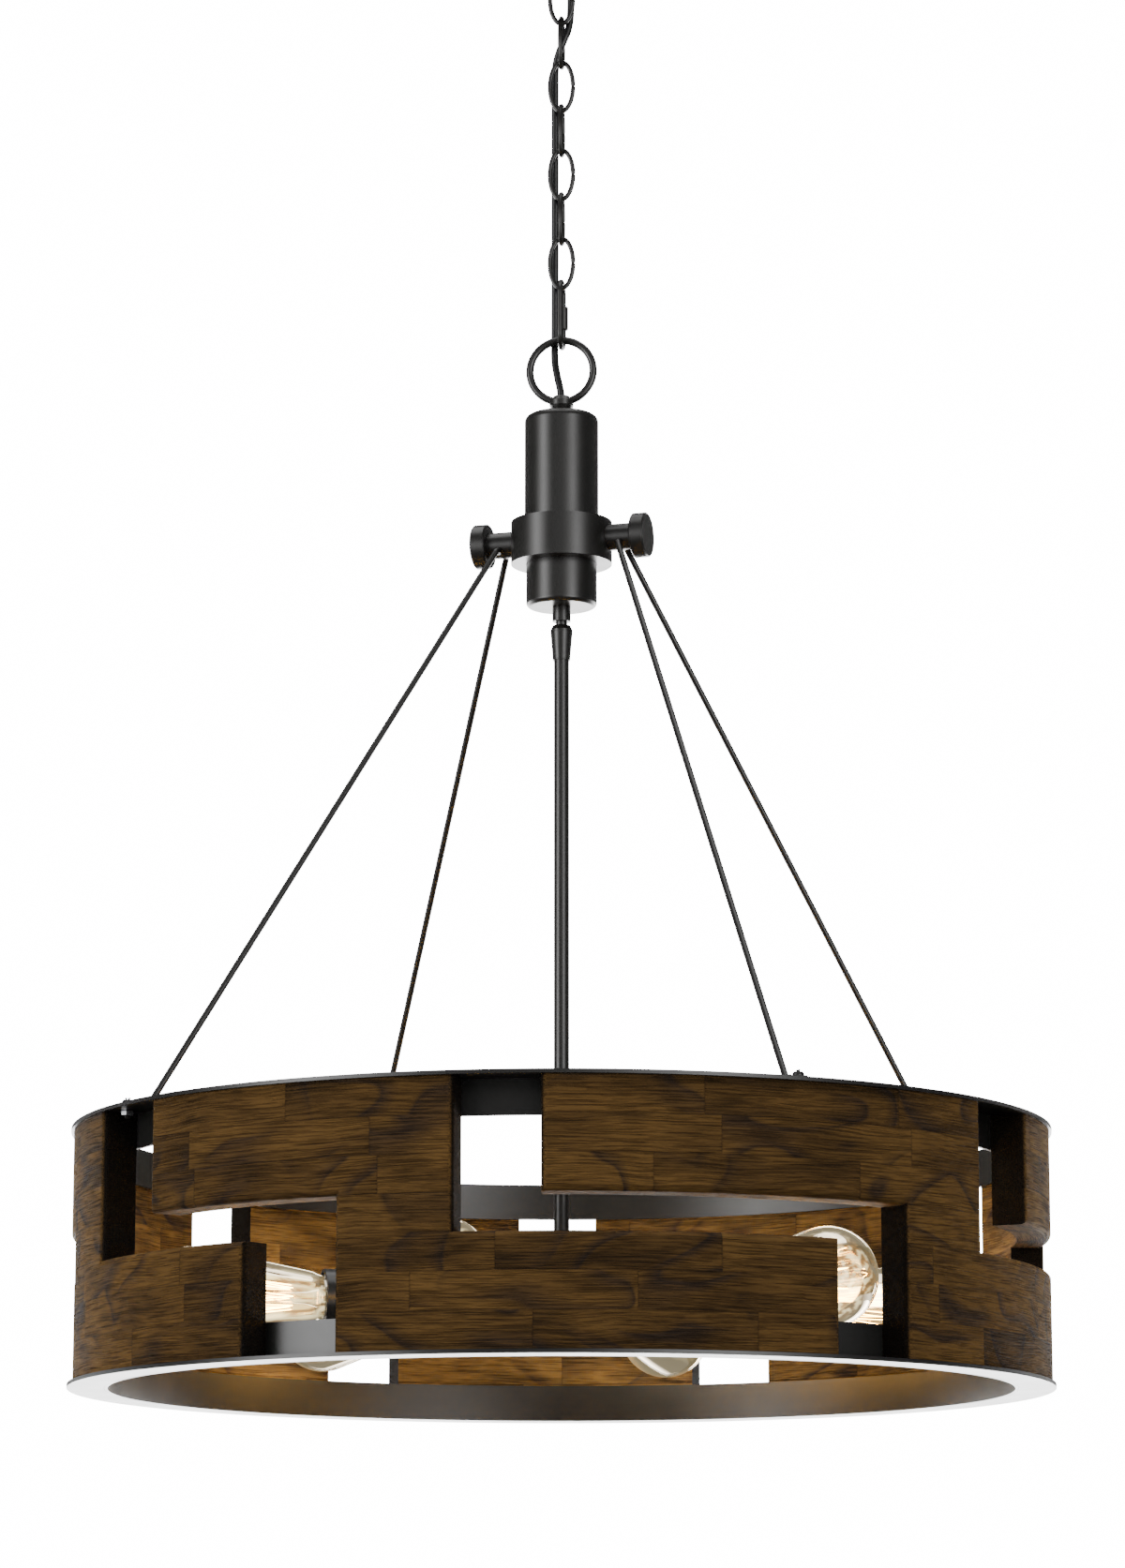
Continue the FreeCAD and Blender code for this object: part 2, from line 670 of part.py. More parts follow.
def make_hub():
    """Ring and foot, cover, collar and cup, clamped together by the pipe and its nuts."""
    ring = bind(doc.addObject("Part::Torus", "hang_ring"),
                Radius1="Size.hang_radius - Size.hang_wire / 2", Radius2="Size.hang_wire / 2")
    upright = FreeCAD.Rotation(Z_AXIS, size("chain_turn")).multiply(FreeCAD.Rotation(X_AXIS, 90))
    placed(ring, upright, z="Place.hang_centre")
    foot = turned("hang_foot", [
        ("0", "0"),
        ("Size.cap_neck_radius", "0"),
        ("Size.cap_neck_radius", "Size.cap_neck_height"),
        ("Size.cap_radius", "Size.cap_flare_height"),
        ("Size.cap_radius", "Size.cap_shoulder_height"),
        ("Size.cap_crown_radius", "Size.cap_height"),
        ("0", "Size.cap_height"),
    ], "Place.cover_top")
    under = "Place.cover_top - Size.overrun"
    bore = cylinder("hang_bore", "Size.nipple_radius + Size.thread_gap",
                    "Size.cap_bore_depth + Size.overrun", z=under)
    cord_way = cylinder("hang_cord_way", "Size.cord_hole",
                        "Size.cap_height + Size.hang_wire + 2 * Size.overrun", z=under)
    node(cut("hang", fuse("hang_blank", ring, foot), fuse("hang_ways", bore, cord_way)), "hanging_loop")

    pipe_hole = "Size.nipple_radius + Size.thread_gap"
    cover_height = "(Place.cover_top - Place.web_top)"
    cover = turned("cover_tube", [
        (pipe_hole, "0"),
        ("Size.cover_radius", "0"),
        ("Size.cover_radius", "-" + cover_height),
        ("Size.cover_radius - Size.cover_wall", "-" + cover_height),
        ("Size.cover_radius - Size.cover_wall", "-Size.cover_wall"),
        (pipe_hole, "-Size.cover_wall"),
    ], "Place.cover_top")
    rounded(cover, "Size.cover_shoulder", [(size("cover_radius"), 0)])
    inner = size("cover_radius") - size("cover_wall")
    rounded(cover, "Size.cover_shoulder - Size.cover_wall", [(inner, -size("cover_wall"))])
    node(cover, "hub_cover")

    recess = "(Size.collar_height - Size.collar_web) / 2"
    ring_blank = turned("collar_ring", [
        (pipe_hole, recess),
        ("Size.cup_radius + Size.seat_gap", recess),
        ("Size.cup_radius + Size.seat_gap", "0"),
        ("Size.collar_radius", "0"),
        ("Size.collar_radius", "Size.collar_height"),
        ("Size.cover_radius + Size.seat_gap", "Size.collar_height"),
        ("Size.cover_radius + Size.seat_gap", recess + " + Size.collar_web"),
        (pipe_hole, recess + " + Size.collar_web"),
    ], "Place.collar_foot")
    side_hole = cylinder("collar_side_hole", "Size.stud_radius + Size.thread_gap",
                         "2 * (Size.collar_radius + Size.overrun)",
                         x="-Size.collar_radius - Size.overrun",
                         z="Place.boss_level", axis=Y_AXIS)
    node(cut("collar", ring_blank, side_hole), "hub_collar")

    cup_height = "(Place.web_foot - Place.cup_foot)"
    cup = turned("cup_shell", [
        (pipe_hole, "0"),
        ("Size.cup_radius", "0"),
        ("Size.cup_radius", cup_height),
        ("Size.cup_radius - Size.cup_wall", cup_height),
        ("Size.cup_radius - Size.cup_wall", "Size.cup_wall"),
        (pipe_hole, "Size.cup_wall"),
    ], "Place.cup_foot")
    rounded(cup, "Size.cup_edge", [(size("cup_radius"), 0)])
    rounded(cup, "Size.cup_edge - Size.cup_wall",
            [(size("cup_radius") - size("cup_wall"), size("cup_wall"))])
    node(cup, "hub_cup")

    pipe_foot = "Place.neck_foot + Size.neck_floor"
    pipe_length = "(Place.cover_top + Size.cap_pipe_grip - %s)" % pipe_foot.replace("+", "-")
    node(turned("hub_pipe", [
        ("Size.nipple_bore", "0"),
        ("Size.nipple_radius", "0"),
        ("Size.nipple_radius", pipe_length),
        ("Size.nipple_bore", pipe_length),
    ], pipe_foot), "hub_nipple")

    blank = prism("hub_nut_blank", "Size.nut_across_corners", "Size.nut_height")
    nut_bore = cylinder("hub_nut_bore", pipe_hole, "Size.nut_height + 2 * Size.overrun",
                        z="-Size.overrun")
    nut = cut("hub_nut", blank, nut_bore)
    levels = [
        at("cover_top") - size("cover_wall") - size("nut_height"),
        at("web_top"),
        at("web_foot") - size("nut_height"),
    ]
    node(group("hub_nut_set", nut, [turn_about_z(0, z=level) for level in levels]), "hub_nuts")


def make_crossbar():
    """A boss, a stud and a knob on each side of the collar, and the cross holes for the rods' hooks."""
    outside = cylinder("collar_outside", "Size.collar_radius + Size.thread_gap", "4 * Size.boss_radius",
                       z="Place.boss_level - 2 * Size.boss_radius")
    stud = cylinder("stud", "Size.stud_radius",
                    "Size.boss_length + Size.stud_grip + Size.stud_reach",
                    x="Size.collar_radius - Size.stud_grip", axis=Y_AXIS)
    knob = turned("knob", [
        ("0", "Size.stud_grip"),
        ("Size.stud_radius + Size.thread_gap", "Size.stud_grip"),
        ("Size.stud_radius + Size.thread_gap", "0"),
        ("Size.knob_radius - Size.knob_edge", "0"),
        ("Size.knob_radius", "Size.knob_edge"),
        ("Size.knob_radius", "Size.knob_thickness - Size.knob_edge"),
        ("Size.knob_radius - Size.knob_edge", "Size.knob_thickness"),
        ("0", "Size.knob_thickness"),
    ])
    for side, sign in (("right", ""), ("left", "-")):
        start = "Size.collar_radius - Size.boss_root" if sign == "" else "-Place.boss_end"
        length = "Size.boss_length + Size.boss_root"
        blank = cylinder("boss_blank_" + side, "Size.boss_radius", length,
                         x=start, z="Place.boss_level", axis=Y_AXIS)
        stud_way = cylinder("boss_bore_" + side, "Size.stud_radius + Size.thread_gap",
                            length + " + 2 * Size.overrun", x=start + " - Size.overrun",
                            z="Place.boss_level", axis=Y_AXIS)
        hook_way = cylinder("hook_bore_" + side, "Size.rod_radius + Size.thread_gap",
                            "2 * (Size.boss_radius + Size.overrun)", x=sign + "Place.hook_offset",
                            y="Size.boss_radius + Size.overrun", z="Place.hook_level", axis=X_AXIS)
        tools = fuse("boss_tools_" + side, outside, stud_way, hook_way)
        node(cut("boss_" + side, blank, tools), "rod_boss_" + side)
    doc.recompute()
    level = at("boss_level")
    node(group("stud_pair", stud, [turn_about_z(0, z=level), turn_about_z(180, z=level)]),
         "crossbar_studs")
    lay_over = FreeCAD.Placement(V(at("boss_end") + size("seat_gap"), 0, level),
                                 FreeCAD.Rotation(Y_AXIS, 90))
    for side, angle in (("right", 0), ("left", 180)):
        spot = turn_about_z(angle).multiply(lay_over)
        node(feature("knob_" + side + "_body", knob.Shape.copy(), spot), "knob_" + side)


# ---------------------------------------------------------------- rods


def rod_angles():
    """Plan angles of the four rods' feet, one to each side of both ends of the crossbar."""
    angle = size("rod_angle")
    return [-angle, angle, 180 - angle, 180 + angle]


def make_rods():
    """Each rod hooks into a boss from the front or the back and ends in a flat foot on the upper ring."""
    radius = size("rod_radius")
    foot_level = at("drum_top") + radius
    tab = box("tab_plate", "Size.rod_tab_length", "Size.rod_tab_width", "Size.rod_tab_thickness",
              y="-Size.rod_tab_width / 2")
    hole = cylinder("tab_hole", "Size.screw_radius + Size.thread_gap",
                    "Size.rod_tab_thickness + 2 * Size.overrun",
                    x="Size.rod_tab_length - Size.rod_tab_width / 2", z="-Size.overrun")
    plate = cut("tab", tab, hole)
    doc.recompute()
    tab_start = at("wood_middle") - size("rod_tab_length") + size("rod_tab_width") / 2
    for number, angle in enumerate(rod_angles(), 1):
        outward = V(math.cos(math.radians(angle)), math.sin(math.radians(angle)), 0)
        side = 1 if outward.x > 0 else -1
        front = 1 if outward.y > 0 else -1
        hook = V(side * at("hook_offset"), 0, at("hook_level"))
        points = [
            hook + V(0, front * size("hook_start"), 0),
            hook + V(0, front * (size("boss_radius") + size("hook_proud")), 0),
            outward * (tab_start - size("rod_foot_lead")) + V(0, 0, foot_level),
            outward * (tab_start + size("rod_foot_overlap")) + V(0, 0, foot_level),
        ]
        bends = [radius + size("hook_bend_room"), radius + size("rod_foot_bend_room")]
        tube = tube_along(points, bends, radius)[0]
        lie = turn_about_z(angle, x=tab_start, z=at("drum_top"))
        flat = plate.Shape.transformed(lie.toMatrix(), True)
        node(feature("rod_bar_%d" % number, tube.fuse(flat).removeSplitter()), "rod_%d" % number)

    head = cylinder("rod_screw_head", "Size.screw_head_radius", "Size.screw_head_height",
                    z="Size.rod_tab_thickness")
    shank_length = ("(Size.rod_tab_thickness + Size.flange_thickness + Size.rod_nut_height"
                    " + Size.rod_screw_tip)")
    shank = cylinder("rod_screw_shank", "Size.screw_radius", shank_length + " + Size.overrun",
                     z="Size.rod_tab_thickness - " + shank_length)
    screw = fuse("rod_screw", head, shank)
    blank = prism("rod_nut_blank", "Size.rod_nut_corners", "Size.rod_nut_height",
                  z="-Size.flange_thickness - Size.rod_nut_height")
    bore = cylinder("rod_nut_bore", "Size.screw_radius + Size.thread_gap",
                    "Size.rod_nut_height + 2 * Size.overrun",
                    z="-Size.flange_thickness - Size.rod_nut_height - Size.overrun")
    nut = cut("rod_nut", blank, bore)
    doc.recompute()
    spots = [turn_about_z(angle, x=at("wood_middle"), z=at("drum_top")) for angle in rod_angles()]
    node(group("rod_screw_set", screw, spots), "rod_screws")
    node(group("rod_nut_set", nut, spots), "rod_nuts")


# ---------------------------------------------------------------- drum


def block_angles(number):
    """Where a block's two bars start and end. Odd blocks have the short bar on top, even the long."""
    pair, second = divmod(number - 1, 2)
    middle = size("first_neck_angle") + 120 * pair + second * size("pitch_angle")
    middle += size("turn_%d" % number)
    right = middle + size("neck_angle") / 2
    left = middle - size("neck_angle") / 2
    upper = at("long_bar_angle") if second else at("short_bar_angle")
    lower = at("short_bar_angle") if second else at("long_bar_angle")
    return {"upper": (right - upper, right), "lower": (left, left + lower), "neck": (left, right)}


def fastener_angles(bar):
    """Two fasteners in each bar of each block, a little in from its ends."""
    inset = size("fastener_inset_angle")
    angles = []
    for number in range(1, 7):
        start, end = block_angles(number)[bar]
        angles += [start + inset, end - inset]
    return angles


def make_rings():
    """A flat ring with a band on its inner edge, above and, turned over, below the wood."""
    def section(sign):
        thick = sign + "Size.flange_thickness"
        band = sign + "Size.band_height"
        groove = sign + "Size.weld_groove"
        return [
            ("Place.ring_inner", "0"),
            ("Place.band_outer - Size.weld_groove", "0"),
            ("Place.band_outer", groove),
            ("Place.band_outer + Size.weld_groove", "0"),
            ("Size.drum_radius", "0"),
            ("Size.drum_radius", thick),
            ("Place.band_outer", thick),
            ("Place.band_outer", band),
            ("Place.ring_inner", band),
        ]
    lower = turned("lower_l_ring", section(""), "Place.drum_foot")
    node(lower, "lower_ring")

    upper = turned("upper_l_ring", section("-"), "Place.drum_top")
    hole = cylinder("flange_hole", "Size.screw_radius + Size.thread_gap",
                    "Size.flange_thickness + 2 * Size.overrun", z="-Size.flange_thickness - Size.overrun")
    doc.recompute()
    spots = [turn_about_z(angle, x=at("wood_middle"), z=at("drum_top"))
             for angle in rod_angles() + fastener_angles("upper")]
    node(cut("upper_drilled", upper, group("flange_holes", hole, spots)), "upper_ring")


def make_fasteners():
    """Wood screws down through the upper flange and pins up from the lower one, with their drillings."""
    head = cone("wood_head", "Size.screw_head_radius", "Size.screw_crown_radius",
                "Size.screw_head_height")
    shank = cylinder("wood_shank", "Size.screw_radius", "Size.wood_screw_length + Size.overrun",
                     z="-Size.wood_screw_length")
    screw = fuse("wood_screw", head, shank)
    pin = cylinder("dowel", "Size.dowel_radius", "Size.dowel_length")
    screw_way = cylinder("screw_way", "Size.screw_radius + Size.thread_gap",
                         "Size.wood_screw_length + 2 * Size.overrun",
                         z="-Size.wood_screw_length - Size.overrun")
    pin_way = cylinder("pin_way", "Size.dowel_radius + Size.thread_gap",
                       "Size.dowel_length + 2 * Size.overrun", z="-Size.overrun")
    pocket = cylinder("nut_pocket", "Size.nut_pocket_radius", "Size.nut_pocket_depth",
                      z="-Size.nut_pocket_depth - Size.flange_thickness")
    doc.recompute()
    middle = at("wood_middle")
    top_spots = [turn_about_z(angle, x=middle, z=at("drum_top")) for angle in fastener_angles("upper")]
    foot_spots = [turn_about_z(angle, x=middle, z=at("wood_foot")) for angle in fastener_angles("lower")]
    nut_spots = [turn_about_z(angle, x=middle, z=at("drum_top")) for angle in rod_angles()]
    node(group("wood_screw_set", screw, top_spots), "block_screws")
    node(group("dowel_set", pin, foot_spots), "block_dowels")
    return fuse("wood_drillings",
                group("screw_ways", screw_way, top_spots),
                group("pin_ways", pin_way, foot_spots),
                group("nut_pockets", pocket, nut_spots))


def make_blocks(drillings):
    """Six Z-shaped blocks: a bar above, a bar below and a neck between them, edges eased outside."""
    core = cylinder("drum_core", "Place.wood_inner", "Size.drum_height", z="Place.drum_foot")
    parts_of = {
        "upper": ("Place.bar_height", "Place.wood_top - Place.bar_height"),
        "lower": ("Place.bar_height", "Place.wood_foot"),
        "neck": ("Place.wood_top - Place.wood_foot", "Place.wood_foot"),
    }
    for number in range(1, 7):
        sectors = []
        for part, (start, end) in block_angles(number).items():
            height, level = parts_of[part]
            sector = cylinder("block_%d_%s" % (number, part), "Place.wood_outer", height, z=level)
            sector.Angle = end - start
            sector.Placement = FreeCAD.Placement(V(0, 0, sector.Placement.Base.z),
                                                 FreeCAD.Rotation(Z_AXIS, start))
            sectors.append(sector)
        blank = cut("block_%d_blank" % number, fuse("block_%d_solid" % number, *sectors), core)
        doc.recompute()
        eased = doc.addObject("Part::Fillet", "block_%d_eased" % number)
        eased.Base = blank
        eased.Edges = [(index, size("wood_edge"), size("wood_edge"))
                       for index, edge in enumerate(blank.Shape.Edges, 1) if is_outer_edge(edge)]
        node(cut("block_%d" % number, eased, drillings), "wood_block_%d" % number)


def is_outer_edge(edge):
    """True for a block's edges on its outer face, apart from those against the flanges."""
    first, last = edge.ParameterRange
    points = [edge.valueAt(first + (last - first) * share) for share in (0.0, 0.5, 1.0)]
    outer = all(abs(math.hypot(point.x, point.y) - at("wood_outer")) < 0.01 for point in points)
    ends = (at("wood_foot"), at("wood_top"))
    seated = any(all(abs(point.z - level) < 0.01 for point in points) for level in ends)
    return outer and not seated


# ---------------------------------------------------------------- lamp cluster

ARM_ANGLES = [30 + 60 * step for step in range(6)]


def make_swivel():
    """The hang-straight swivel: a ball on a neck under the cup, held in a tapered coupling."""
    tube = turned("neck_tube", [
        ("0", "0"),
        ("Size.neck_tube_radius", "0"),
        ("Size.neck_tube_radius", "Size.neck_tube_length - Size.seat_gap"),
        ("0", "Size.neck_tube_length - Size.seat_gap"),
    ], "Place.neck_foot")
    neck = cylinder("ball_neck", "Size.ball_neck_radius", "Size.ball_drop + Size.overrun",
                    z="Place.ball_centre")
    ball = sphere("ball", "Size.ball_radius", z="Place.ball_centre")
    below = "Size.ball_radius + Size.overrun"
    lead_way = cylinder("ball_bore", "Size.lead_bore",
                        "Size.ball_drop + Size.neck_tube_length + 2 * (%s)" % below,
                        z="Place.ball_centre - (%s)" % below)
    pipe_way = cylinder("neck_pipe_bore", "Size.nipple_radius + Size.thread_gap",
                        "Size.neck_tube_length + Size.overrun",
                        z="Place.neck_foot + Size.neck_floor - Size.seat_gap")
    node(cut("neck", fuse("neck_blank", tube, neck, ball), fuse("neck_ways", lead_way, pipe_way)),
         "swivel_neck")

    blank = turned("coupling_blank", [
        ("0", "0"),
        ("Place.coupling_foot_radius", "0"),
        ("Place.coupling_foot_radius", "Size.coupling_lip"),
        ("Size.coupling_radius", "Size.coupling_length - Size.coupling_shoulder"),
        ("Size.coupling_radius", "Size.coupling_length - Size.coupling_crown"),
        ("Size.coupling_radius - Size.coupling_crown_inset", "Size.coupling_length"),
        ("0", "Size.coupling_length"),
    ], "Place.coupling_foot")
    seat = sphere("coupling_seat", "Place.ball_seat", z="Place.ball_centre")
    mouth = cone("coupling_mouth", "Size.ball_neck_radius + Size.swivel_play",
                 "Size.ball_neck_radius + Size.swivel_flare", "Size.coupling_rise + Size.overrun",
                 z="Place.ball_centre")
    under = "Place.coupling_foot - Size.overrun"
    stem_way = cylinder("coupling_stem_way", "Size.stem_radius + Size.thread_gap",
                        "Place.stem_top - Place.coupling_foot + Size.overrun", z=under)
    lead_hole = cylinder("coupling_lead_way", "Size.lead_bore + Size.lead_play",
                         "Size.coupling_length", z=under)
    node(cut("coupling", blank, fuse("coupling_ways", seat, mouth, stem_way, lead_hole)),
         "swivel_socket")

    stem_length = "(Place.stem_top - Place.stem_foot)"
    node(turned("stem", [
        ("Size.stem_bore", "0"),
        ("Size.stem_radius", "0"),
        ("Size.stem_radius", stem_length),
        ("Size.stem_bore", stem_length),
    ], "Place.stem_foot"), "stem_tube")


def make_cluster():
    """The can under the stem, its lid and finial."""
    wall = "Size.cluster_wall"
    can = turned("can", [
        ("Size.stem_radius + Size.thread_gap", "0"),
        ("Size.cluster_radius", "0"),
        ("Size.cluster_radius", "-Size.cluster_height"),
        ("Size.cluster_radius - " + wall, "-Size.cluster_height"),
        ("Size.cluster_radius - " + wall, "-" + wall),
        ("Size.stem_radius + Size.thread_gap", "-" + wall),
    ], "Place.cluster_top")
    rounded(can, "Size.cluster_edge", [(size("cluster_radius"), 0)])
    arm_way = cylinder("arm_way", "Size.arm_radius + Size.thread_gap",
                       "Size.cluster_radius + Size.overrun", axis=Y_AXIS)
    doc.recompute()
    spots = [turn_about_z(angle, z=at("bulb_level")) for angle in ARM_ANGLES]
    node(cut("can_drilled", can, group("arm_ways", arm_way, spots)), "cluster_body")

    node(turned("lid", [
        ("Size.stud_radius + Size.thread_gap", "0"),
        ("Size.cluster_radius - %s - Size.seat_gap" % wall, "0"),
        ("Size.cluster_radius - %s - Size.seat_gap" % wall, wall),
        ("Size.stud_radius + Size.thread_gap", wall),
    ], "Place.cluster_foot"), "cluster_plate")

    finial = turned("finial", [
        ("0", "0"),
        ("Size.finial_tip_radius", "0"),
        ("Size.finial_radius", "Size.finial_tip_height"),
        ("Size.finial_radius", "Size.finial_height"),
        ("Size.stud_radius", "Size.finial_height"),
        ("Size.stud_radius", "Size.finial_height + 2 * " + wall),
        ("0", "Size.finial_height + 2 * " + wall),
    ], "Place.cluster_foot - Size.finial_height")
    node(finial, "cluster_finial")


def along_x(body):
    """A copy of a turned master's shape, laid so that its axis runs out along +X."""
    doc.recompute()
    return feature(body.Name + "_laid", body.Shape.copy(),
                   FreeCAD.Placement(V(), FreeCAD.Rotation(Y_AXIS, 90)))


def make_sockets():
    """Six arms, each with a metal cup and a threaded lamp holder inside it."""
    arm_start = "Size.cluster_radius - Size.cluster_wall - Size.arm_reach"
    arm = along_x(turned("arm", [
        ("Size.arm_bore", arm_start),
        ("Size.arm_radius", arm_start),
        ("Size.arm_radius", "Place.cover_back + Size.cover_cup_wall"),
        ("Size.arm_bore", "Place.cover_back + Size.cover_cup_wall"),
    ]))
    inner = "Size.cover_cup_radius - Size.cover_cup_wall"
    floor = "Place.cover_back + Size.cover_cup_wall"
    cup = along_x(turned("socket_cup", [
        ("Size.arm_radius + Size.thread_gap", "Place.cover_back"),
        ("Size.cover_cup_radius - Size.cover_cup_shoulder", "Place.cover_back"),
        ("Size.cover_cup_radius", "Place.holder_back"),
        ("Size.cover_cup_radius", "Size.cover_cup_mouth"),
        (inner, "Size.cover_cup_mouth"),
        (inner, "Place.holder_back"),
        (inner + " - Size.cover_cup_bend", floor),
        ("Size.arm_radius + Size.thread_gap", floor),
    ]))
    hole = "Size.bulb_base_radius + Size.thread_gap"
    shell = along_x(turned("lamp_holder", [
        ("Size.lead_radius + Size.thread_gap", "Place.holder_back"),
        ("Place.holder_radius", "Place.holder_back"),
        ("Place.holder_radius", "Size.cover_cup_mouth - Size.shell_setback"),
        (hole, "Size.cover_cup_mouth - Size.shell_setback"),
        (hole, "Place.base_tip - Size.holder_gap"),
        ("Size.lead_radius + Size.thread_gap", "Place.base_tip - Size.holder_gap"),
    ]))
    spots = [turn_about_z(angle, z=at("bulb_level")) for angle in ARM_ANGLES]
    node(group("arm_set", arm, spots), "socket_arms")
    node(group("cup_set", cup, spots), "socket_covers")
    node(group("holder_set", shell, spots), "socket_shells")


def glass_form(name, inset):
    """The bulb's pear shape along +Z, smaller by the inset all round: neck, cone and round end."""
    less = " - %s" % inset
    neck = cylinder(name + "_neck", "Size.bulb_base_radius - Size.glass_grip_gap" + less,
                    "Size.glass_grip + " + inset, z="Place.base_mouth - Size.glass_grip")
    joint = "Size.bulb_centre - Size.bulb_radius * Place.cone_sine"
    flare = cone(name + "_flare", "Size.bulb_neck_radius" + less,
                 "Size.bulb_radius * Place.cone_cosine" + less,
                 "%s - Place.base_mouth - %s" % (joint, inset), z="Place.base_mouth + " + inset)
    crown = sphere(name + "_crown", "Size.bulb_radius" + less, z="Size.bulb_centre")
    return fuse(name, neck, flare, crown)


def make_bulbs():
    """Six filament bulbs, each of blown glass, a screw base and an inner glass mount."""
    glass = cut("glass", glass_form("glass_outside", "0"), glass_form("glass_inside", "Size.glass_wall"))
    base = turned("bulb_base", [
        ("0", "Place.base_tip"),
        ("Size.bulb_tip_radius", "Place.base_tip"),
        ("Size.bulb_base_radius", "Place.base_tip + Size.bulb_tip_height"),
        ("Size.bulb_base_radius", "Place.base_mouth"),
        ("Size.bulb_base_radius - Size.bulb_base_wall", "Place.base_mouth"),
        ("Size.bulb_base_radius - Size.bulb_base_wall", "Place.base_tip + Size.bulb_fill_height"),
        ("0", "Place.base_tip + Size.bulb_fill_height"),
    ])
    stand = cylinder("bulb_mount", "Size.mount_radius",
                     "Size.bulb_centre - Size.mount_setback - Place.base_tip - Size.bulb_fill_height",
                     z="Place.base_tip + Size.bulb_fill_height")
    doc.recompute()
    lie = FreeCAD.Placement(V(), FreeCAD.Rotation(Y_AXIS, 90)).toMatrix()
    whole = Part.Compound([glass.Shape, base.Shape, stand.Shape]).transformed(lie, True)
    for number, angle in enumerate(ARM_ANGLES, 1):
        spot = turn_about_z(angle, z=at("bulb_level"))
        node(feature("bulb_%d_whole" % number, whole.copy(), spot), "bulb_%d" % number)


def make_wiring():
    """The cable in the stem, the connector block under it and a lead to each lamp holder."""
    block_level = "Place.bulb_level - Size.connector_height / 2"
    block = cylinder("connector", "Size.connector_radius", "Size.connector_height", z=block_level)
    cable = cylinder("stem_cable", "Size.lead_bore",
                     "Place.stem_top - Place.bulb_level - Size.connector_height / 2 - Size.overrun",
                     z=block_level + " + Size.connector_height")
    lead = cylinder("socket_lead", "Size.lead_radius",
                    "Place.base_tip - Size.lead_setback - Size.connector_radius",
                    x="Size.connector_radius", axis=Y_AXIS)
    doc.recompute()
    spots = [turn_about_z(angle, z=at("bulb_level")) for angle in ARM_ANGLES]
    leads = [lead.Shape.transformed(spot.toMatrix(), True) for spot in spots]
    node(feature("wiring", Part.Compound([block.Shape, cable.Shape] + leads)), "inner_wiring")


# ---------------------------------------------------------------- building and writing

make_strap()
make_canopy()
make_chain()
make_cord()
make_hub()
make_crossbar()
make_rods()
make_rings()
make_blocks(make_fasteners())
make_swivel()
make_cluster()
make_sockets()
make_bulbs()
make_wiring()
doc.recompute()

for thing in doc.Objects:
    if "Invalid" in thing.State or "Error" in thing.State:
        raise SystemExit("failed: %s %s" % (thing.Name, thing.State))
for thing in nodes:
    if thing.Shape.isNull() or not thing.Shape.isValid() or not thing.Shape.Solids:
        raise SystemExit("bad shape: " + thing.Label)

os.makedirs("parts", exist_ok=True)
for thing in nodes:
    thing.Shape.exportStep("parts/%s.step" % thing.Label)
print(len(nodes), "sub-parts written")
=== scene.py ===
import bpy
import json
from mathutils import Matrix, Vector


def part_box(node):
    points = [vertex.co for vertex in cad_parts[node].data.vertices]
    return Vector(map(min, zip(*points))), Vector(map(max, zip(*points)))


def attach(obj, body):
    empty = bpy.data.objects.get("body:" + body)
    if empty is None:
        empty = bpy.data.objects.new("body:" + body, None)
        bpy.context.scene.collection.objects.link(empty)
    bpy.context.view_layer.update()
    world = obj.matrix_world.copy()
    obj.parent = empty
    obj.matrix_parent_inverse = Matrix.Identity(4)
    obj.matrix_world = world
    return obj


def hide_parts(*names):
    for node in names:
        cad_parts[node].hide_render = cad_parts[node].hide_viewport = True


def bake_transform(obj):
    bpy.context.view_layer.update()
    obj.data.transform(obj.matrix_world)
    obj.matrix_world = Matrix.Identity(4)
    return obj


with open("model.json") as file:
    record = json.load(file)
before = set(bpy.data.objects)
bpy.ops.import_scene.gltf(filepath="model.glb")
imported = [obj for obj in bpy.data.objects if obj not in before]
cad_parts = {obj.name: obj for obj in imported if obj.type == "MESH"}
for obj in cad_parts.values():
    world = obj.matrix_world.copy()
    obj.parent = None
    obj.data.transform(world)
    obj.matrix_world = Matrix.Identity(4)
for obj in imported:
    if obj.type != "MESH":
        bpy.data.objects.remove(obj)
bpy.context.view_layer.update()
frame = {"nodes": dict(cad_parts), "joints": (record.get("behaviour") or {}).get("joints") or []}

# The looks of a wood and metal drum chandelier: powder-coated steel, wire-brushed boards, filament
# bulbs, the lamp cord along its chain, and the small hardware that the frame keeps plain.

import json
import logging
import math
from collections.abc import Callable, Iterable, Iterator, Sequence
from contextlib import contextmanager
from dataclasses import dataclass
from enum import Enum
from functools import partial

import bmesh
import bpy
from mathutils import Matrix, Vector

log = logging.getLogger("chandelier")

MM = 0.001
SCREW_HEAD = 3.7 * MM
# Vertices closer than this are one, and a ring's own vertices are found within these of its sizes.
MERGE_M = 1e-6
SAME_LEVEL_M = 1e-7
SAME_RADIUS_M = 1e-6

Node = bpy.types.ShaderNode
Socket = bpy.types.NodeSocket
Adder = Callable[..., Node]


# ------------------------------------------------------------------ colour and nodes


def linear(code: str) -> tuple[float, float, float, float]:
    """Turns an sRGB hex colour into the linear values that the shaders take.

    Args:
        code: Six hex digits after a hash sign.

    Returns:
        Linear red, green and blue, and an alpha of one.
    """
    channels = [int(code[start : start + 2], 16) / 255 for start in (1, 3, 5)]
    bent = [c / 12.92 if c <= 0.04045 else ((c + 0.055) / 1.055) ** 2.4 for c in channels]
    return (bent[0], bent[1], bent[2], 1.0)


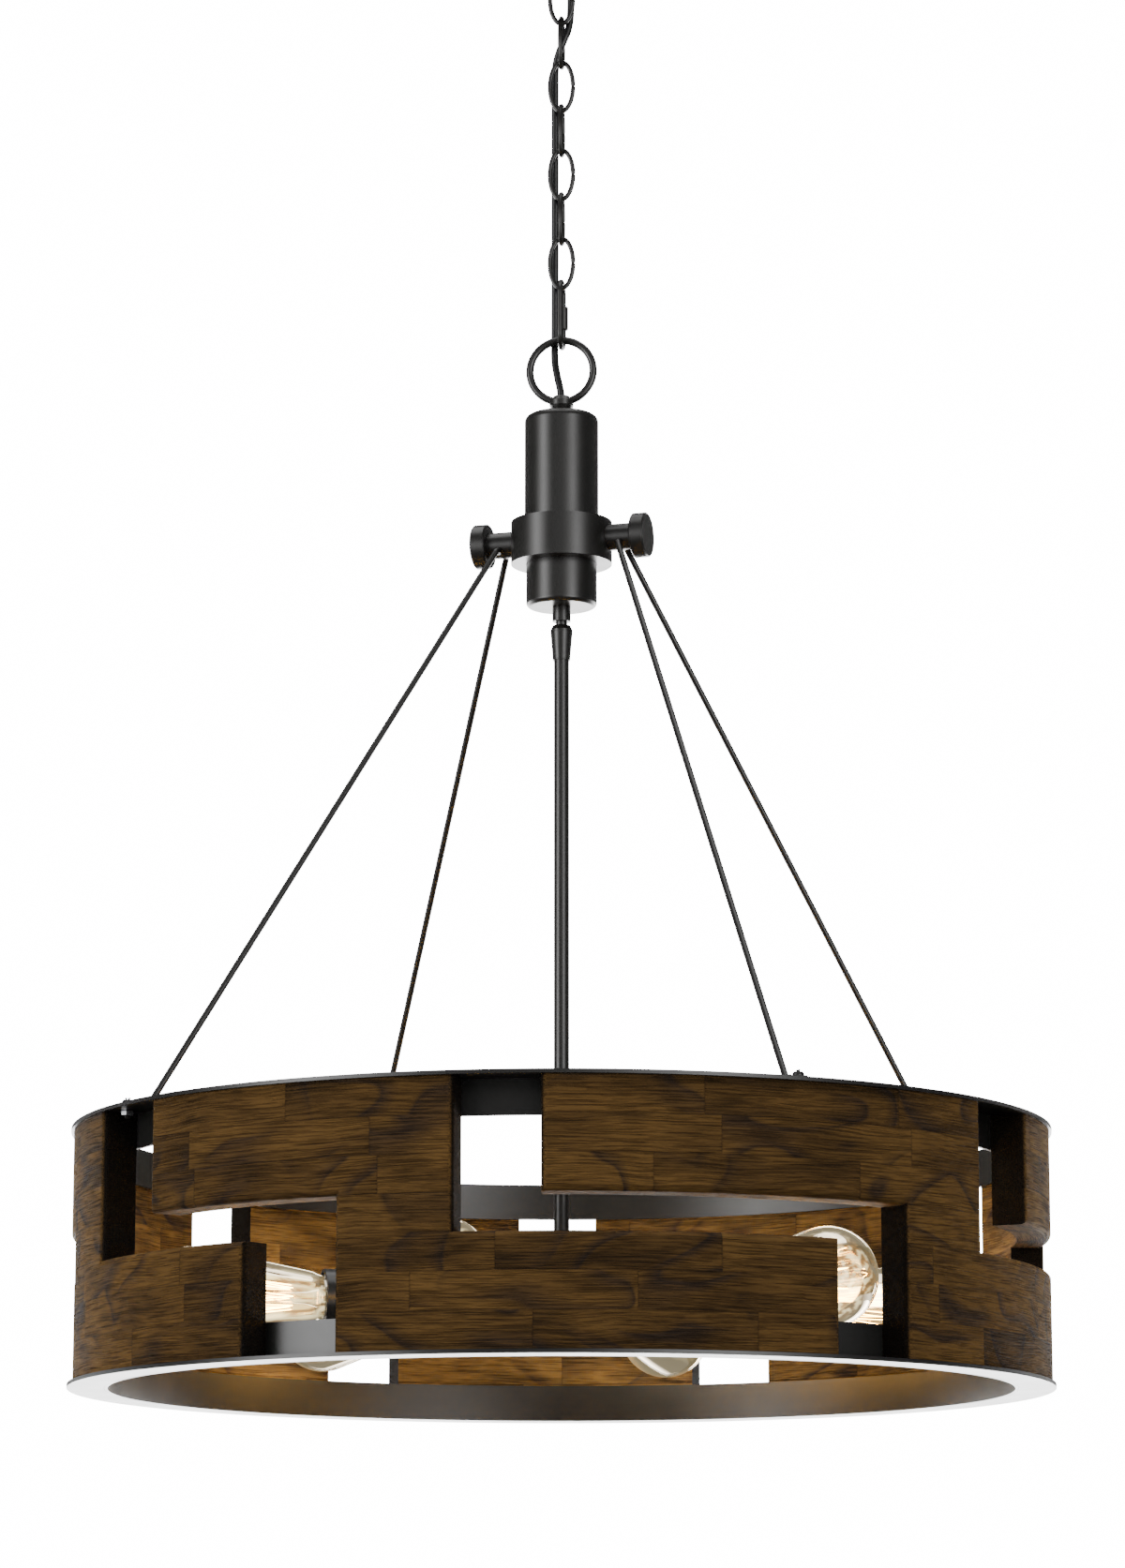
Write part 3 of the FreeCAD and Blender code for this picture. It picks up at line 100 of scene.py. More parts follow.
def add_node(
    tree: bpy.types.ShaderNodeTree,
    kind: str,
    inputs: dict[str, object] | Sequence[object] = (),
    stops: Sequence[tuple[float, float]] = (),
    **settings: object,
) -> Node:
    """Adds one node with its settings and links.

    Args:
        tree: The node tree.
        kind: The node's type, without its ShaderNode prefix.
        inputs: Values by input name, or in the order of the inputs in use. A socket is linked, and a
            node is linked by its first output in use.
        stops: A colour ramp's places and grey levels, from low to high.
        settings: The node's other options.

    Returns:
        The new node.
    """
    node = tree.nodes.new("ShaderNode" + kind)
    for name, value in settings.items():
        setattr(node, name, value)
    if stops:
        elements = node.color_ramp.elements
        while len(elements) < len(stops):
            elements.new(1.0)
        for element, (place, grey) in zip(elements, stops):
            element.position = place
            element.color = (grey, grey, grey, 1.0)
    used = [socket for socket in node.inputs if socket.enabled]
    named = inputs.items() if isinstance(inputs, dict) else enumerate(inputs)
    for key, value in named:
        socket = node.inputs[key] if isinstance(key, str) else used[key]
        if isinstance(value, bpy.types.Node):
            value = next(output for output in value.outputs if output.enabled)
        if isinstance(value, bpy.types.NodeSocket):
            tree.links.new(value, socket)
        else:
            socket.default_value = value
    return node


def per_metre(*sizes_mm: float) -> float | tuple[float, ...]:
    """How often a feature of each of these sizes fits into a metre, as a pattern's scale.

    Args:
        sizes_mm: The sizes in millimetres.

    Returns:
        One scale, or one for each size.
    """
    scales = tuple(1 / (size * MM) for size in sizes_mm)
    return scales if len(scales) > 1 else scales[0]


@dataclass(frozen=True)
class Finish:
    """A material as it is made; each kind of surface fills in its own look."""

    name: str

    def material(self) -> bpy.types.Material:
        """Makes the material, or gives the one that was made before.

        Returns:
            The material.
        """
        made = bpy.data.materials.get(self.name)
        if made is None:
            made = bpy.data.materials.new(self.name)
            made.use_nodes = True
            made.node_tree.nodes.clear()
            add = partial(add_node, made.node_tree)
            add("OutputMaterial", {"Surface": self.surface(add)})
        return made

    def surface(self, add: Adder) -> Node:
        """Builds the nodes.

        Args:
            add: Adds a node to the material's tree.

        Returns:
            The shader.
        """
        raise NotImplementedError


@dataclass(frozen=True)
class PowderCoat(Finish):
    """Baked powder paint: a satin dark skin with a fine orange peel that softens every highlight."""

    colour: str = "#252423"
    warm_colour: str = "#2b2a28"
    roughness: float = 0.33
    gloss_spread: float = 0.10
    ior: float = 1.52
    cloud_mm: float = 25.0
    peel_mm: float = 0.7
    peel_depth_mm: float = 0.012

    def surface(self, add: Adder) -> Node:
        """Satin paint, a little uneven in tone and gloss.

        Args:
            add: Adds a node to the material's tree.

        Returns:
            The shader.
        """
        place = add("TexCoord").outputs["Object"]
        cloud = add("TexNoise", {"Vector": place, "Scale": per_metre(self.cloud_mm), "Detail": 3.0})
        peel = add("TexNoise", {"Vector": place, "Scale": per_metre(self.peel_mm), "Detail": 2.0})
        tone = add("Mix", (cloud, linear(self.colour), linear(self.warm_colour)), data_type="RGBA")
        least = self.roughness - self.gloss_spread / 2
        gloss = add("Math", (cloud, self.gloss_spread, least), operation="MULTIPLY_ADD")
        bump = add("Bump", {"Strength": 1.0, "Distance": self.peel_depth_mm * MM, "Height": peel})
        paint = {"Base Color": tone, "Roughness": gloss, "IOR": self.ior, "Normal": bump}
        return add("BsdfPrincipled", paint)


@dataclass(frozen=True)
class PlatedMetal(Finish):
    """Plated steel or brass: bare metal shine with the drawn lines of turning or rolling."""

    colour: str = "#b9babd"
    roughness: float = 0.28
    gloss_spread: float = 0.16
    line_mm: float = 5 / 3
    times_finer: float = 12.0
    line_depth_mm: float = 0.01

    def surface(self, add: Adder) -> Node:
        """Metal with fine drawn lines in its gloss.

        Args:
            add: Adds a node to the material's tree.

        Returns:
            The shader.
        """
        place, finer = add("TexCoord").outputs["Object"], (1.0, 1.0, self.times_finer)
        drawn = add("Mapping", {"Vector": place, "Scale": finer}, vector_type="POINT")
        lines = add("TexNoise", {"Vector": drawn, "Scale": per_metre(self.line_mm), "Detail": 2.0})
        least = self.roughness - self.gloss_spread / 2
        gloss = add("Math", (lines, self.gloss_spread, least), operation="MULTIPLY_ADD")
        bump = add("Bump", {"Strength": 1.0, "Distance": self.line_depth_mm * MM, "Height": lines})
        metal = {"Base Color": linear(self.colour), "Metallic": 1.0, "Roughness": gloss, "Normal": bump}
        return add("BsdfPrincipled", metal)


@dataclass(frozen=True)
class BrushedBoards(Finish):
    """Stained, wire-brushed boards glued edge to edge and end to end round a curve.

    The brush has torn out the soft early wood, so sunk lines run along the grain, darkened partly by the
    stain and partly by painted shade in the grooves, with light flecks between that are partly the hard
    wood's paler tone and partly a painted highlight, and short hairlines of painted shade. The stain has
    gone bluish grey where knots turn the grain, light brown elsewhere, and nearly black into the end
    grain.
    Each pair of sizes in millimetres is a feature's length along the grain and its width across.
    """

    middle_angle: float = 0.0
    foot_m: float = 0.0
    stave_m: float = 0.0236
    radius_m: float = 0.3231
    board_mm: float = 138.0
    seed: float = 0.0
    dark: str = "#1e1710"
    brown: str = "#4c3921"
    light: str = "#8b693b"
    smoke: str = "#27262b"
    end_grain: str = "#080706"
    roughness: float = 0.82
    gloss_spread: float = 0.10
    ior: float = 1.45
    specular: float = 0.14
    relief_mm: float = 0.30
    seam_mm: float = 0.35
    seam_share: float = 0.35
    knot_mm: tuple[float, float] = (78.0, 52.0)
    knot_rings: float = 4.5
    smoke_share: float = 0.7
    calm_mm: tuple[float, float] = (110.0, 60.0)
    bend_mm: float = 6.0
    cloud_mm: tuple[float, float] = (70.0, 17.0)
    board_share: float = 0.30
    # The lines' dark is part stain and part painted shade, the flecks' light part tone and part painted
    # highlight, and the hairlines' dark painted shade.
    fibre_mm: tuple[float, float] = (38.0, 0.85)
    line_stain_and_shade_share: float = 0.45
    fleck_tone_and_highlight_share: float = 0.26
    hair_mm: tuple[float, float] = (16.0, 0.68)
    hair_shade_share: float = 0.28

    def surface(self, add: Adder) -> Node:
        """Boards round the drum, each with its own tone and grain.

        Args:
            add: Adds a node to the material's tree.

        Returns:
            The shader.
        """
        place, back = add("TexCoord").outputs["Object"], (0.0, 0.0, -self.middle_angle)
        turned = add("Mapping", {"Vector": place, "Rotation": back}, vector_type="POINT")
        across, along, height = add("SeparateXYZ", (turned,)).outputs
        angle = add("Math", (along, across), operation="ARCTAN2")
        arc = add("Math", (angle, self.radius_m), operation="MULTIPLY")
        squares = [add("Math", (side, side), operation="MULTIPLY") for side in (across, along)]
        depth = add("Math", (add("Math", squares, operation="ADD"), 0.5), operation="POWER")

        # Rows of staves from the foot up, each row's boards shifted by its own luck.
        risen = add("Math", (height, self.foot_m), operation="SUBTRACT")
        stave = add("Math", (risen, self.stave_m), operation="DIVIDE")
        row = add("Math", (stave,), operation="FLOOR")
        row_seed = add("Math", (row, self.seed + 0.37), operation="ADD")
        row_luck = add("TexWhiteNoise", {"W": row_seed}, noise_dimensions="1D")
        shift = add("Math", (row_luck.outputs["Value"], 7.0), operation="MULTIPLY")
        run = add("Math", (arc, self.board_mm * MM), operation="DIVIDE")
        run = add("Math", (run, shift), operation="ADD")
        number = add("CombineXYZ", (row, add("Math", (run,), operation="FLOOR"), self.seed + 0.21))
        luck = add("TexWhiteNoise", {"Vector": number}, noise_dimensions="3D")
        # Each board is cut from another place in the wood.
        moved = add("VectorMath", (luck.outputs["Color"], 3.0), operation="SCALE")
        grain = add("VectorMath", (add("CombineXYZ", (arc, depth, height)), moved), operation="ADD")

        colour, brushing = self.figure(add, grain, luck.outputs["Value"])
        seam = self.seams(add, stave, run)
        colour = add("Mix", (seam, colour, linear(self.dark)), data_type="RGBA")
        ends = self.end_faces(add, angle)
        colour = add("Mix", (ends, colour, linear(self.end_grain)), data_type="RGBA")
        gloss = add("Math", (brushing, -self.gloss_spread, self.roughness), operation="MULTIPLY_ADD")
        sunk = add("Math", (seam, 0.5), operation="MULTIPLY")
        relief = add("Math", (brushing, sunk), operation="SUBTRACT")
        bump = add("Bump", {"Strength": 1.0, "Distance": self.relief_mm * MM, "Height": relief})
        wood = {"Base Color": colour, "Roughness": gloss, "IOR": self.ior, "Normal": bump}
        return add("BsdfPrincipled", wood | {"Specular IOR Level": self.specular})

    def figure(self, add: Adder, grain: Node, luck: Socket) -> tuple[Node, Node]:
        """The colour of the wood and the relief that the wire brush leaves.

        Args:
            add: Adds a node to the material's tree.
            grain: The point along, through and up the board.
            luck: The board's own random value.

        Returns:
            The colour and the relief, from 0 in a torn line to 1 on the hard wood.
        """
        # Where a branch grew, the year rings stand across the board: one or two broad smoky arcs.
        knot = self.stretched(add, grain, self.knot_mm, curl=0.6)
        rings = add("Math", (knot, self.knot_rings), operation="MULTIPLY")
        rings = add("Math", (rings,), operation="FRACT")
        arcs = [(0.0, 0.15), (0.08, 1.0), (0.28, 0.45), (0.48, 0.0), (0.94, 0.0), (1.0, 0.15)]
        calm = self.stretched(add, grain, self.calm_mm, detail=1.0)
        calm = add("ValToRGB", (calm,), [(0.42, 0.10), (0.55, 1.0)])
        arcs = add("Math", (add("ValToRGB", (rings,), arcs), calm), operation="MULTIPLY")
        # The grain bends round those places.
        rise = add("Math", (knot, self.bend_mm * MM), operation="MULTIPLY")
        bent = add("VectorMath", (grain, add("CombineXYZ", {"Z": rise})), operation="ADD")

        cloud = self.stretched(add, bent, self.cloud_mm, detail=2.0, curl=0.3)
        tone = add("Math", (luck, self.board_share), operation="MULTIPLY")
        tone = add("Math", (tone, cloud), operation="ADD")
        tone = add("ValToRGB", (tone,), [(0.40, 0.0), (0.80, 1.0)])
        colour = add("Mix", (tone, linear(self.brown), linear(self.light)), data_type="RGBA")
        # Early wood torn out by the brush leaves sunk lines, darkened partly by stain and partly by
        # painted shade in the grooves, with light flecks of hard wood between that are partly its paler
        # tone and partly a painted highlight on the ridges. The bristles leave short sunk hairlines
        # darkened by painted shade.
        # The real lines are about half a millimetre apart. They are drawn nearly twice as coarse, to
        # show.
        fibre = self.stretched(add, bent, self.fibre_mm, detail=1.0)
        lines = add("ValToRGB", (fibre,), [(0.36, 1.0), (0.48, 0.0)])
        fleck = add("ValToRGB", (fibre,), [(0.54, 0.0), (0.64, 1.0)])
        hair = add("ValToRGB", (self.stretched(add, bent, self.hair_mm),), [(0.38, 1.0), (0.47, 0.0)])
        # Lines: stain and painted shade in the grooves; flecks: paler tone and painted highlight;
        # hairlines: painted shade.
        for mask, share, tint in (
            (arcs, self.smoke_share, self.smoke),
            (lines, self.line_stain_and_shade_share, self.dark),
            (fleck, self.fleck_tone_and_highlight_share, self.light),
            (hair, self.hair_shade_share, self.dark),
        ):
            shown = add("Math", (mask, share), operation="MULTIPLY")
            colour = add("Mix", (shown, colour, linear(tint)), data_type="RGBA")
        relief = 1.0
        for mask, depth in ((lines, 0.8), (hair, 0.6)):
            torn = add("Math", (mask, depth), operation="MULTIPLY")
            relief = add("Math", (relief, torn), operation="SUBTRACT")
        return colour, relief

    def stretched(
        self,
        add: Adder,
        grain: Node,
        size_mm: tuple[float, float],
        detail: float = 0.0,
        curl: float = 0.0,
    ) -> Node:
        """Noise drawn out along the grain.

        Args:
            add: Adds a node to the material's tree.
            grain: The point along, through and up the board.
            size_mm: The length and width of its features.
            detail: How much finer noise lies over it.
            curl: How much it is twisted.

        Returns:
            The noise.
        """
        long_mm, wide_mm = size_mm
        scaled = add("VectorMath", (grain, per_metre(long_mm, wide_mm, wide_mm)), operation="MULTIPLY")
        return add("TexNoise", {"Vector": scaled, "Scale": 1.0, "Detail": detail, "Distortion": curl})

    def seams(self, add: Adder, stave: Node, run: Node) -> Node:
        """Glue lines along the staves and where two boards butt.

        Args:
            add: Adds a node to the material's tree.
            stave: The height, counted in staves.
            run: The way along the curve, counted in boards.

        Returns:
            The lines' strength.
        """
        lines = []
        for place, length_m in ((stave, self.stave_m), (run, self.board_mm * MM)):
            part = add("Math", (add("Math", (place,), operation="FRACT"), 0.5), operation="SUBTRACT")
            middle = add("Math", (part,), operation="ABSOLUTE")
            width = self.seam_mm * MM / length_m
            lines.append(add("ValToRGB", (middle,), [(0.5 - 2 * width, 0.0), (0.5 - 0.5 * width, 1.0)]))
        either = add("Math", lines, operation="MAXIMUM")
        return add("Math", (either, self.seam_share), operation="MULTIPLY")

    def end_faces(self, add: Adder, angle: Node) -> Node:
        """One where the surface faces along the curve, as on a bar's sawn end.

        Args:
            add: Adds a node to the material's tree.
            angle: The place round the drum.

        Returns:
            How much of the end grain shows.
        """
        facing, back = add("TexCoord").outputs["Normal"], (0.0, 0.0, -self.middle_angle)
        turned = add("Mapping", {"Vector": facing, "Rotation": back}, vector_type="NORMAL")
        sine = add("Math", (add("Math", (angle,), operation="SINE"), -1.0), operation="MULTIPLY")
        tangent = add("CombineXYZ", {"X": sine, "Y": add("Math", (angle,), operation="COSINE")})
        along = add("VectorMath", (turned, tangent), operation="DOT_PRODUCT")
        along = add("Math", (along,), operation="ABSOLUTE")
        return add("ValToRGB", (along,), [(0.50, 0.0), (0.80, 0.95)])


@dataclass(frozen=True)
class BlownGlass(Finish):
    """Clear soda-lime glass, thin and blown, with the hot wire's light painted into it.

    The wall has a painted pale cream glow, and a painted highlight brightens its rim. Long painted
    streaks of the wire's light, white or gold, run along the bulb.
    """

    turn: float = 0.0
    level_m: float = 0.0
    clear: str = "#fbf6ea"
    shine: str = "#fff4e2"
    cream: str = "#f0dfae"
    gold: str = "#e8901c"
    white_gold: str = "#ffeeb4"
    roughness: float = 0.03
    ior: float = 1.42
    painted_glow: float = 0.09
    rim: float = 0.30
    painted_streaks: float = 0.0
    streak_mm: tuple[float, float] = (150.0, 5.0)

    def surface(self, add: Adder) -> Node:
        """Sees through, glows a little with painted light, and shines towards its edges with real gloss
        and a painted rim highlight.

        Args:
            add: Adds a node to the material's tree.

        Returns:
            The shader.
        """
        clear = add("BsdfTransparent", {"Color": linear(self.clear)})
        shine = add("BsdfGlossy", {"Color": linear(self.shine), "Roughness": self.roughness})
        glass = add("MixShader", (add("Fresnel", {"IOR": self.ior}), clear, shine))
        # Painted glow: cream emission over the whole wall, stronger at the rim as a painted highlight.
        side = add("LayerWeight", {"Blend": 0.5}).outputs["Facing"]
        edge = add("Math", (side, 6.0), operation="POWER")
        edge = add("Math", (edge, self.rim, self.painted_glow), operation="MULTIPLY_ADD")
        glow = add("Emission", {"Color": linear(self.cream), "Strength": edge})
        glass = add("AddShader", (glass, glow))
        if not self.painted_streaks:
            return glass
        # Painted streaks of the wire's light, as emission, strongest where the wall faces the viewer.
        streak = self.streak(add)
        seen = add("ValToRGB", (side,), [(0.30, 1.0), (0.62, 0.0)])
        drawn = add("Math", (streak, seen), operation="MULTIPLY")
        drawn = add("Math", (drawn, self.painted_streaks), operation="MULTIPLY")
        hot = add("ValToRGB", (streak,), [(0.1, 0.0), (0.6, 1.0)])
        tint = add("Mix", (hot, linear(self.gold), linear(self.white_gold)), data_type="RGBA")
        return add("AddShader", (glass, add("Emission", {"Color": tint, "Strength": drawn})))

    def streak(self, add: Adder) -> Node:
        """How bright the painted streaks of the wire's light are, in lines along the bulb's own axis.

        Args:
            add: Adds a node to the material's tree.

        Returns:
            The streaks' strength, from 0.03 to 1.
        """
        place = add("TexCoord").outputs["Object"]
        place = add("VectorMath", (place, (0.0, 0.0, self.level_m)), operation="SUBTRACT")
        back = (0.0, 0.0, -self.turn)
        turned = add("Mapping", {"Vector": place, "Rotation": back}, vector_type="POINT")
        long_mm, wide_mm = self.streak_mm
        scaled = add("VectorMath", (turned, per_metre(long_mm, wide_mm, wide_mm)), operation="MULTIPLY")
        noise = add("TexNoise", {"Vector": scaled, "Scale": 1.0, "Detail": 2.0, "Distortion": 0.5})
        return add("ValToRGB", (noise,), [(0.40, 0.03), (0.50, 0.25), (0.60, 1.0)])


@dataclass(frozen=True)
class GlowingWire(Finish):
    """Carbon filament at working heat, about 2200 K."""

    colour: str = "#ffbc50"
    strength: float = 60.0

    def surface(self, add: Adder) -> Node:
        """Warm light with no surface of its own."""
        return add("Emission", {"Color": linear(self.colour), "Strength": self.strength})


@dataclass(frozen=True)
class MouldedSkin(Finish):
    """Extruded vinyl or pressed ceramic: an even colour, softly shiny, faintly mottled."""

    colour: str
    roughness: float
    gloss_spread: float = 0.12
    ior: float = 1.5
    mottle_mm: float = 3.0
    mottle_depth_mm: float = 0.03

    def surface(self, add: Adder) -> Node:
        """An even moulded skin.

        Args:
            add: Adds a node to the material's tree.

        Returns:
            The shader.
        """
        place = add("TexCoord").outputs["Object"]
        mottle = add("TexNoise", {"Vector": place, "Scale": per_metre(self.mottle_mm), "Detail": 3.0})
        least = self.roughness - self.gloss_spread / 2
        gloss = add("Math", (mottle, self.gloss_spread, least), operation="MULTIPLY_ADD")
        bump = add("Bump", {"Strength": 1.0, "Distance": self.mottle_depth_mm * MM, "Height": mottle})
        skin = {"Base Color": linear(self.colour), "Roughness": gloss, "IOR": self.ior, "Normal": bump}
        return add("BsdfPrincipled", skin)


@dataclass(frozen=True)
class StudioPaper(Finish):
    """Matt white background paper, lit evenly by itself so that no light falls on the lamp for it."""

    colour: str = "#f1f0ee"
    glow: str = "#ffffff"
    roughness: float = 0.9
    lit: float = 1.6
    tooth_mm: float = 4.0
    tooth_depth_mm: float = 0.02

    def surface(self, add: Adder) -> Node:
        """Flat pale paper with a slight tooth.

        Args:
            add: Adds a node to the material's tree.

        Returns:
            The shader.
        """
        place = add("TexCoord").outputs["Object"]
        tooth = add("TexNoise", {"Vector": place, "Scale": per_metre(self.tooth_mm), "Detail": 2.0})
        bump = add("Bump", {"Strength": 1.0, "Distance": self.tooth_depth_mm * MM, "Height": tooth})
        paper = {"Base Color": linear(self.colour), "Roughness": self.roughness, "Normal": bump}
        glow = {"Emission Color": linear(self.glow), "Emission Strength": self.lit}
        return add("BsdfPrincipled", paper | glow)


# A satin near-black that greys along every edge the light grazes.
BLACK_COAT = PowderCoat("powder_coated_steel")
# Duller and bluer than chrome: small grey glints on the nuts and the strap.
ZINC = PlatedMetal("zinc_plated_steel", "#a9abae", 0.34)
# Warmer and sharper, with bright rims on the rolled threads of the bulbs' bases.
NICKEL = PlatedMetal("nickel_plated_brass", "#c9c5bd", 0.2)
# Yellow metal, only at the contact buttons.
BRASS = PlatedMetal("brass_contact", "#b08b46", 0.3)
# Hair-thin bright lines inside the glass.
SUPPORT_WIRE = PlatedMetal("bright_support_wire", "#c8c2b6", 0.25)
# Soft black with one long dull highlight along the cord.
CORD_JACKET = MouldedSkin("vinyl_cord_jacket", "#0f0f10", 0.38)
# The same vinyl, duller and a little greyer, on the thin leads.
LEAD_JACKET = MouldedSkin("socket_lead_jacket", "#1a1a1b", 0.5)
# Off-white with the shine of a glaze.
CERAMIC = MouldedSkin("glazed_lamp_holder", "#dcd8cf", 0.35)
# A faint bright stem in the middle of each bulb, with less painted glow than the wall.
STEM_GLASS = BlownGlass("pressed_stem_glass", painted_glow=0.05, rim=0.1)
# The brightest thing in view: thin white-hot lines that look golden at their edges.
FILAMENT = GlowingWire("glowing_filament")
# No shade and no horizon.
PAPER = StudioPaper("studio_paper")


# ------------------------------------------------------------------ modelling by hand


class Element(Enum):
    """What is selected in edit mode."""

    FACE = "FACE"
    VERTEX = "VERT"


def let_go() -> None:
    """Deselects every object."""
    for thing in bpy.context.selected_objects:
        thing.select_set(False)


def take(piece: bpy.types.Object) -> bpy.types.Object:
    """Makes one object the only selected and active one.

    Args:
        piece: The object.

    Returns:
        The same object.
    """
    let_go()
    piece.select_set(True)
    bpy.context.view_layer.objects.active = piece
    return piece


@contextmanager
def editing(piece: bpy.types.Object) -> Iterator[bpy.types.Object]:
    """Edit mode on one object for the length of a with block.

    Args:
        piece: The object to edit.

    Returns:
        The same object, in edit mode.
    """
    take(piece)
    bpy.ops.object.mode_set(mode="EDIT")
    yield piece
    bpy.ops.object.mode_set(mode="OBJECT")


def pick(piece: bpy.types.Object, wanted: Callable[[Vector], bool], kind: Element) -> None:
    """Selects, in edit mode, the faces or vertices whose middles pass a test.

    Args:
        piece: The object being edited.
        wanted: The test on an element's middle.
        kind: What is selected.
    """
    bpy.ops.mesh.select_mode(type=kind.value)
    bpy.ops.mesh.select_all(action="DESELECT")
    mesh = bmesh.from_edit_mesh(piece.data)
    if kind is Element.FACE:
        for face in mesh.faces:
            face.select_set(wanted(face.calc_center_median()))
    else:
        for vertex in mesh.verts:
            vertex.select_set(wanted(vertex.co))
    bmesh.update_edit_mesh(piece.data)


def on_ring(ring: tuple[float, float], spot: Vector) -> bool:
    """Whether a point lies on a turned piece's ring of this radius and height.

    Args:
        ring: The ring's radius and height.
        spot: The point.

    Returns:
        True on the ring.
    """
    radius, height = ring
    return abs(spot.z - height) < SAME_LEVEL_M and abs(spot.xy.length - radius) < SAME_RADIUS_M


def lathe(name: str, outline: Sequence[tuple[float, float]], sides: int = 48) -> bpy.types.Object:
    """Turns a piece up from one ring, as a glass blower or a lathe hand would, along +Z.

    Args:
        name: The piece's name.
        outline: Pairs of radius and height in metres. A radius of zero closes the piece.
        sides: Faces round.

    Returns:
        The closed piece, standing on the origin.
    """
    rings = [pair for pair in outline if pair[0] > 0]
    let_go()
    bpy.ops.mesh.primitive_circle_add(vertices=sides, radius=rings[0][0], location=(0, 0, rings[0][1]))
    piece = bpy.context.active_object
    piece.name = name
    bpy.ops.object.transform_apply(location=True, rotation=True, scale=True)
    with editing(piece):
        bpy.ops.mesh.select_mode(type=Element.VERTEX.value)
        bpy.ops.mesh.select_all(action="SELECT")
        for (last_radius, last_height), (radius, height) in zip(rings, rings[1:]):
            rise, grow = (0, 0, height - last_height), radius / last_radius
            bpy.ops.mesh.extrude_region_move(TRANSFORM_OT_translate={"value": rise})
            bpy.ops.transform.resize(value=(grow, grow, 1.0), center_override=(0, 0, height))
        for (end_radius, end_height), rim in ((outline[-1], rings[-1]), (outline[0], rings[0])):
            pick(piece, partial(on_ring, rim), Element.VERTEX)
            if end_radius > 0:
                bpy.ops.mesh.edge_face_add()
            else:
                rise = (0, 0, end_height - rim[1])
                bpy.ops.mesh.extrude_region_move(TRANSFORM_OT_translate={"value": rise})
                bpy.ops.mesh.merge(type="CENTER")
        bpy.ops.mesh.select_all(action="SELECT")
        bpy.ops.mesh.normals_make_consistent(inside=False)
    smooth(piece)
    return piece


def smooth(piece: bpy.types.Object, degrees: float = 32.0) -> None:
    """Shades a piece smooth but for its sharp corners.

    Args:
        piece: The piece.
        degrees: Edges that turn by less are shaded smooth.
    """
    take(piece)
    bpy.ops.object.shade_smooth_by_angle(angle=math.radians(degrees))


def heal() -> None:
    """Merges doubles and turns every face outwards, in edit mode."""
    bpy.ops.mesh.select_all(action="SELECT")
    bpy.ops.mesh.remove_doubles(threshold=MERGE_M)
    bpy.ops.mesh.normals_make_consistent(inside=False)


def carve(piece: bpy.types.Object, cutter: bpy.types.Object) -> None:
    """Cuts one piece out of another.

    Args:
        piece: The piece that is cut.
        cutter: The shape to take away. It is used up.
    """
    take(piece)
    cut = piece.modifiers.new("cut", "BOOLEAN")
    cut.operation, cut.object, cut.solver = "DIFFERENCE", cutter, "EXACT"
    bpy.ops.object.modifier_apply(modifier=cut.name)
    bpy.data.objects.remove(cutter)


def put(piece: bpy.types.Object, place: Matrix) -> bpy.types.Object:
    """Moves a piece's mesh and leaves its object at the origin.

    Args:
        piece: The piece.
        place: Where it goes.

    Returns:
        The same piece.
    """
    piece.data.transform(place)
    piece.data.update()
    return piece


def copy_at(piece: bpy.types.Object, name: str, place: Matrix) -> bpy.types.Object:
    """A copy with its own mesh, put in a place.

    Args:
        piece: The master.
        name: The copy's name.
        place: Where the copy goes.

    Returns:
        The copy.
    """
    made = piece.copy()
    made.data = piece.data.copy()
    made.name = name
    bpy.context.collection.objects.link(made)
    return put(made, place)


def join(name: str, parts: Sequence[bpy.types.Object]) -> bpy.types.Object:
    """Joins pieces into one.

    Args:
        name: The joined piece's name.
        parts: The pieces; the first keeps its origin.

    Returns:
        The joined piece.
    """
    take(parts[0])
    for part in parts:
        part.select_set(True)
    if len(parts) > 1:
        bpy.ops.object.join()
    parts[0].name = name
    return parts[0]


def dress(piece: bpy.types.Object, finish: Finish) -> bpy.types.Object:
    """Gives a piece one material all over.

    Args:
        piece: The piece.
        finish: Its material.

    Returns:
        The same piece.
    """
    piece.data.materials.clear()
    piece.data.materials.append(finish.material())
    return piece


def fit(piece: bpy.types.Object, body: str, slot: str, *stands_for: str) -> None:
    """Hands a finished piece to the frame.

    Args:
        piece: The finished piece.
        body: The body that it rides on.
        slot: The record's slot for its finish. It is not used.
        stands_for: The frame's nodes that it stands for.
    """
    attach(piece, body)
    if stands_for:
        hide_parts(*stands_for)
    log.info("%s on %s, %d faces", piece.name, body, len(piece.data.polygons))


def coat_nodes(names: Iterable[str], finish: Finish) -> None:
    """Gives frame nodes a finish in all their material slots.

    Args:
        names: The nodes.
        finish: Their material.
    """
    for name in names:
        node = frame["nodes"][name]
        for number in range(len(node.material_slots)):
            node.material_slots[number].link = "OBJECT"
            node.material_slots[number].material = finish.material()
        log.info("%s coated with %s", name, finish.name)


def joint_place(name: str) -> Vector:
    """The pivot of one of the frame's joints.

    Args:
        name: The joint.

    Returns:
        Its place, in metres.
    """
    found = next(joint for joint in frame["joints"] if joint["name"] == name)
    return Vector(found["pos_m"])


# ------------------------------------------------------------------ ceiling, chain and cord


@dataclass
class CeilingFitting:
    """The canopy, its ring nut and loop, and the strap inside."""

    coated: tuple[str, ...] = ("canopy", "canopy_ring_nut", "canopy_loop")
    plated: tuple[str, ...] = ("mounting_strap", "ground_screw", "canopy_nipple", "nipple_nut")

    def build(self) -> None:
        """Dresses the frame's own nodes."""
        coat_nodes(self.coated, BLACK_COAT)
        coat_nodes(self.plated, ZINC)


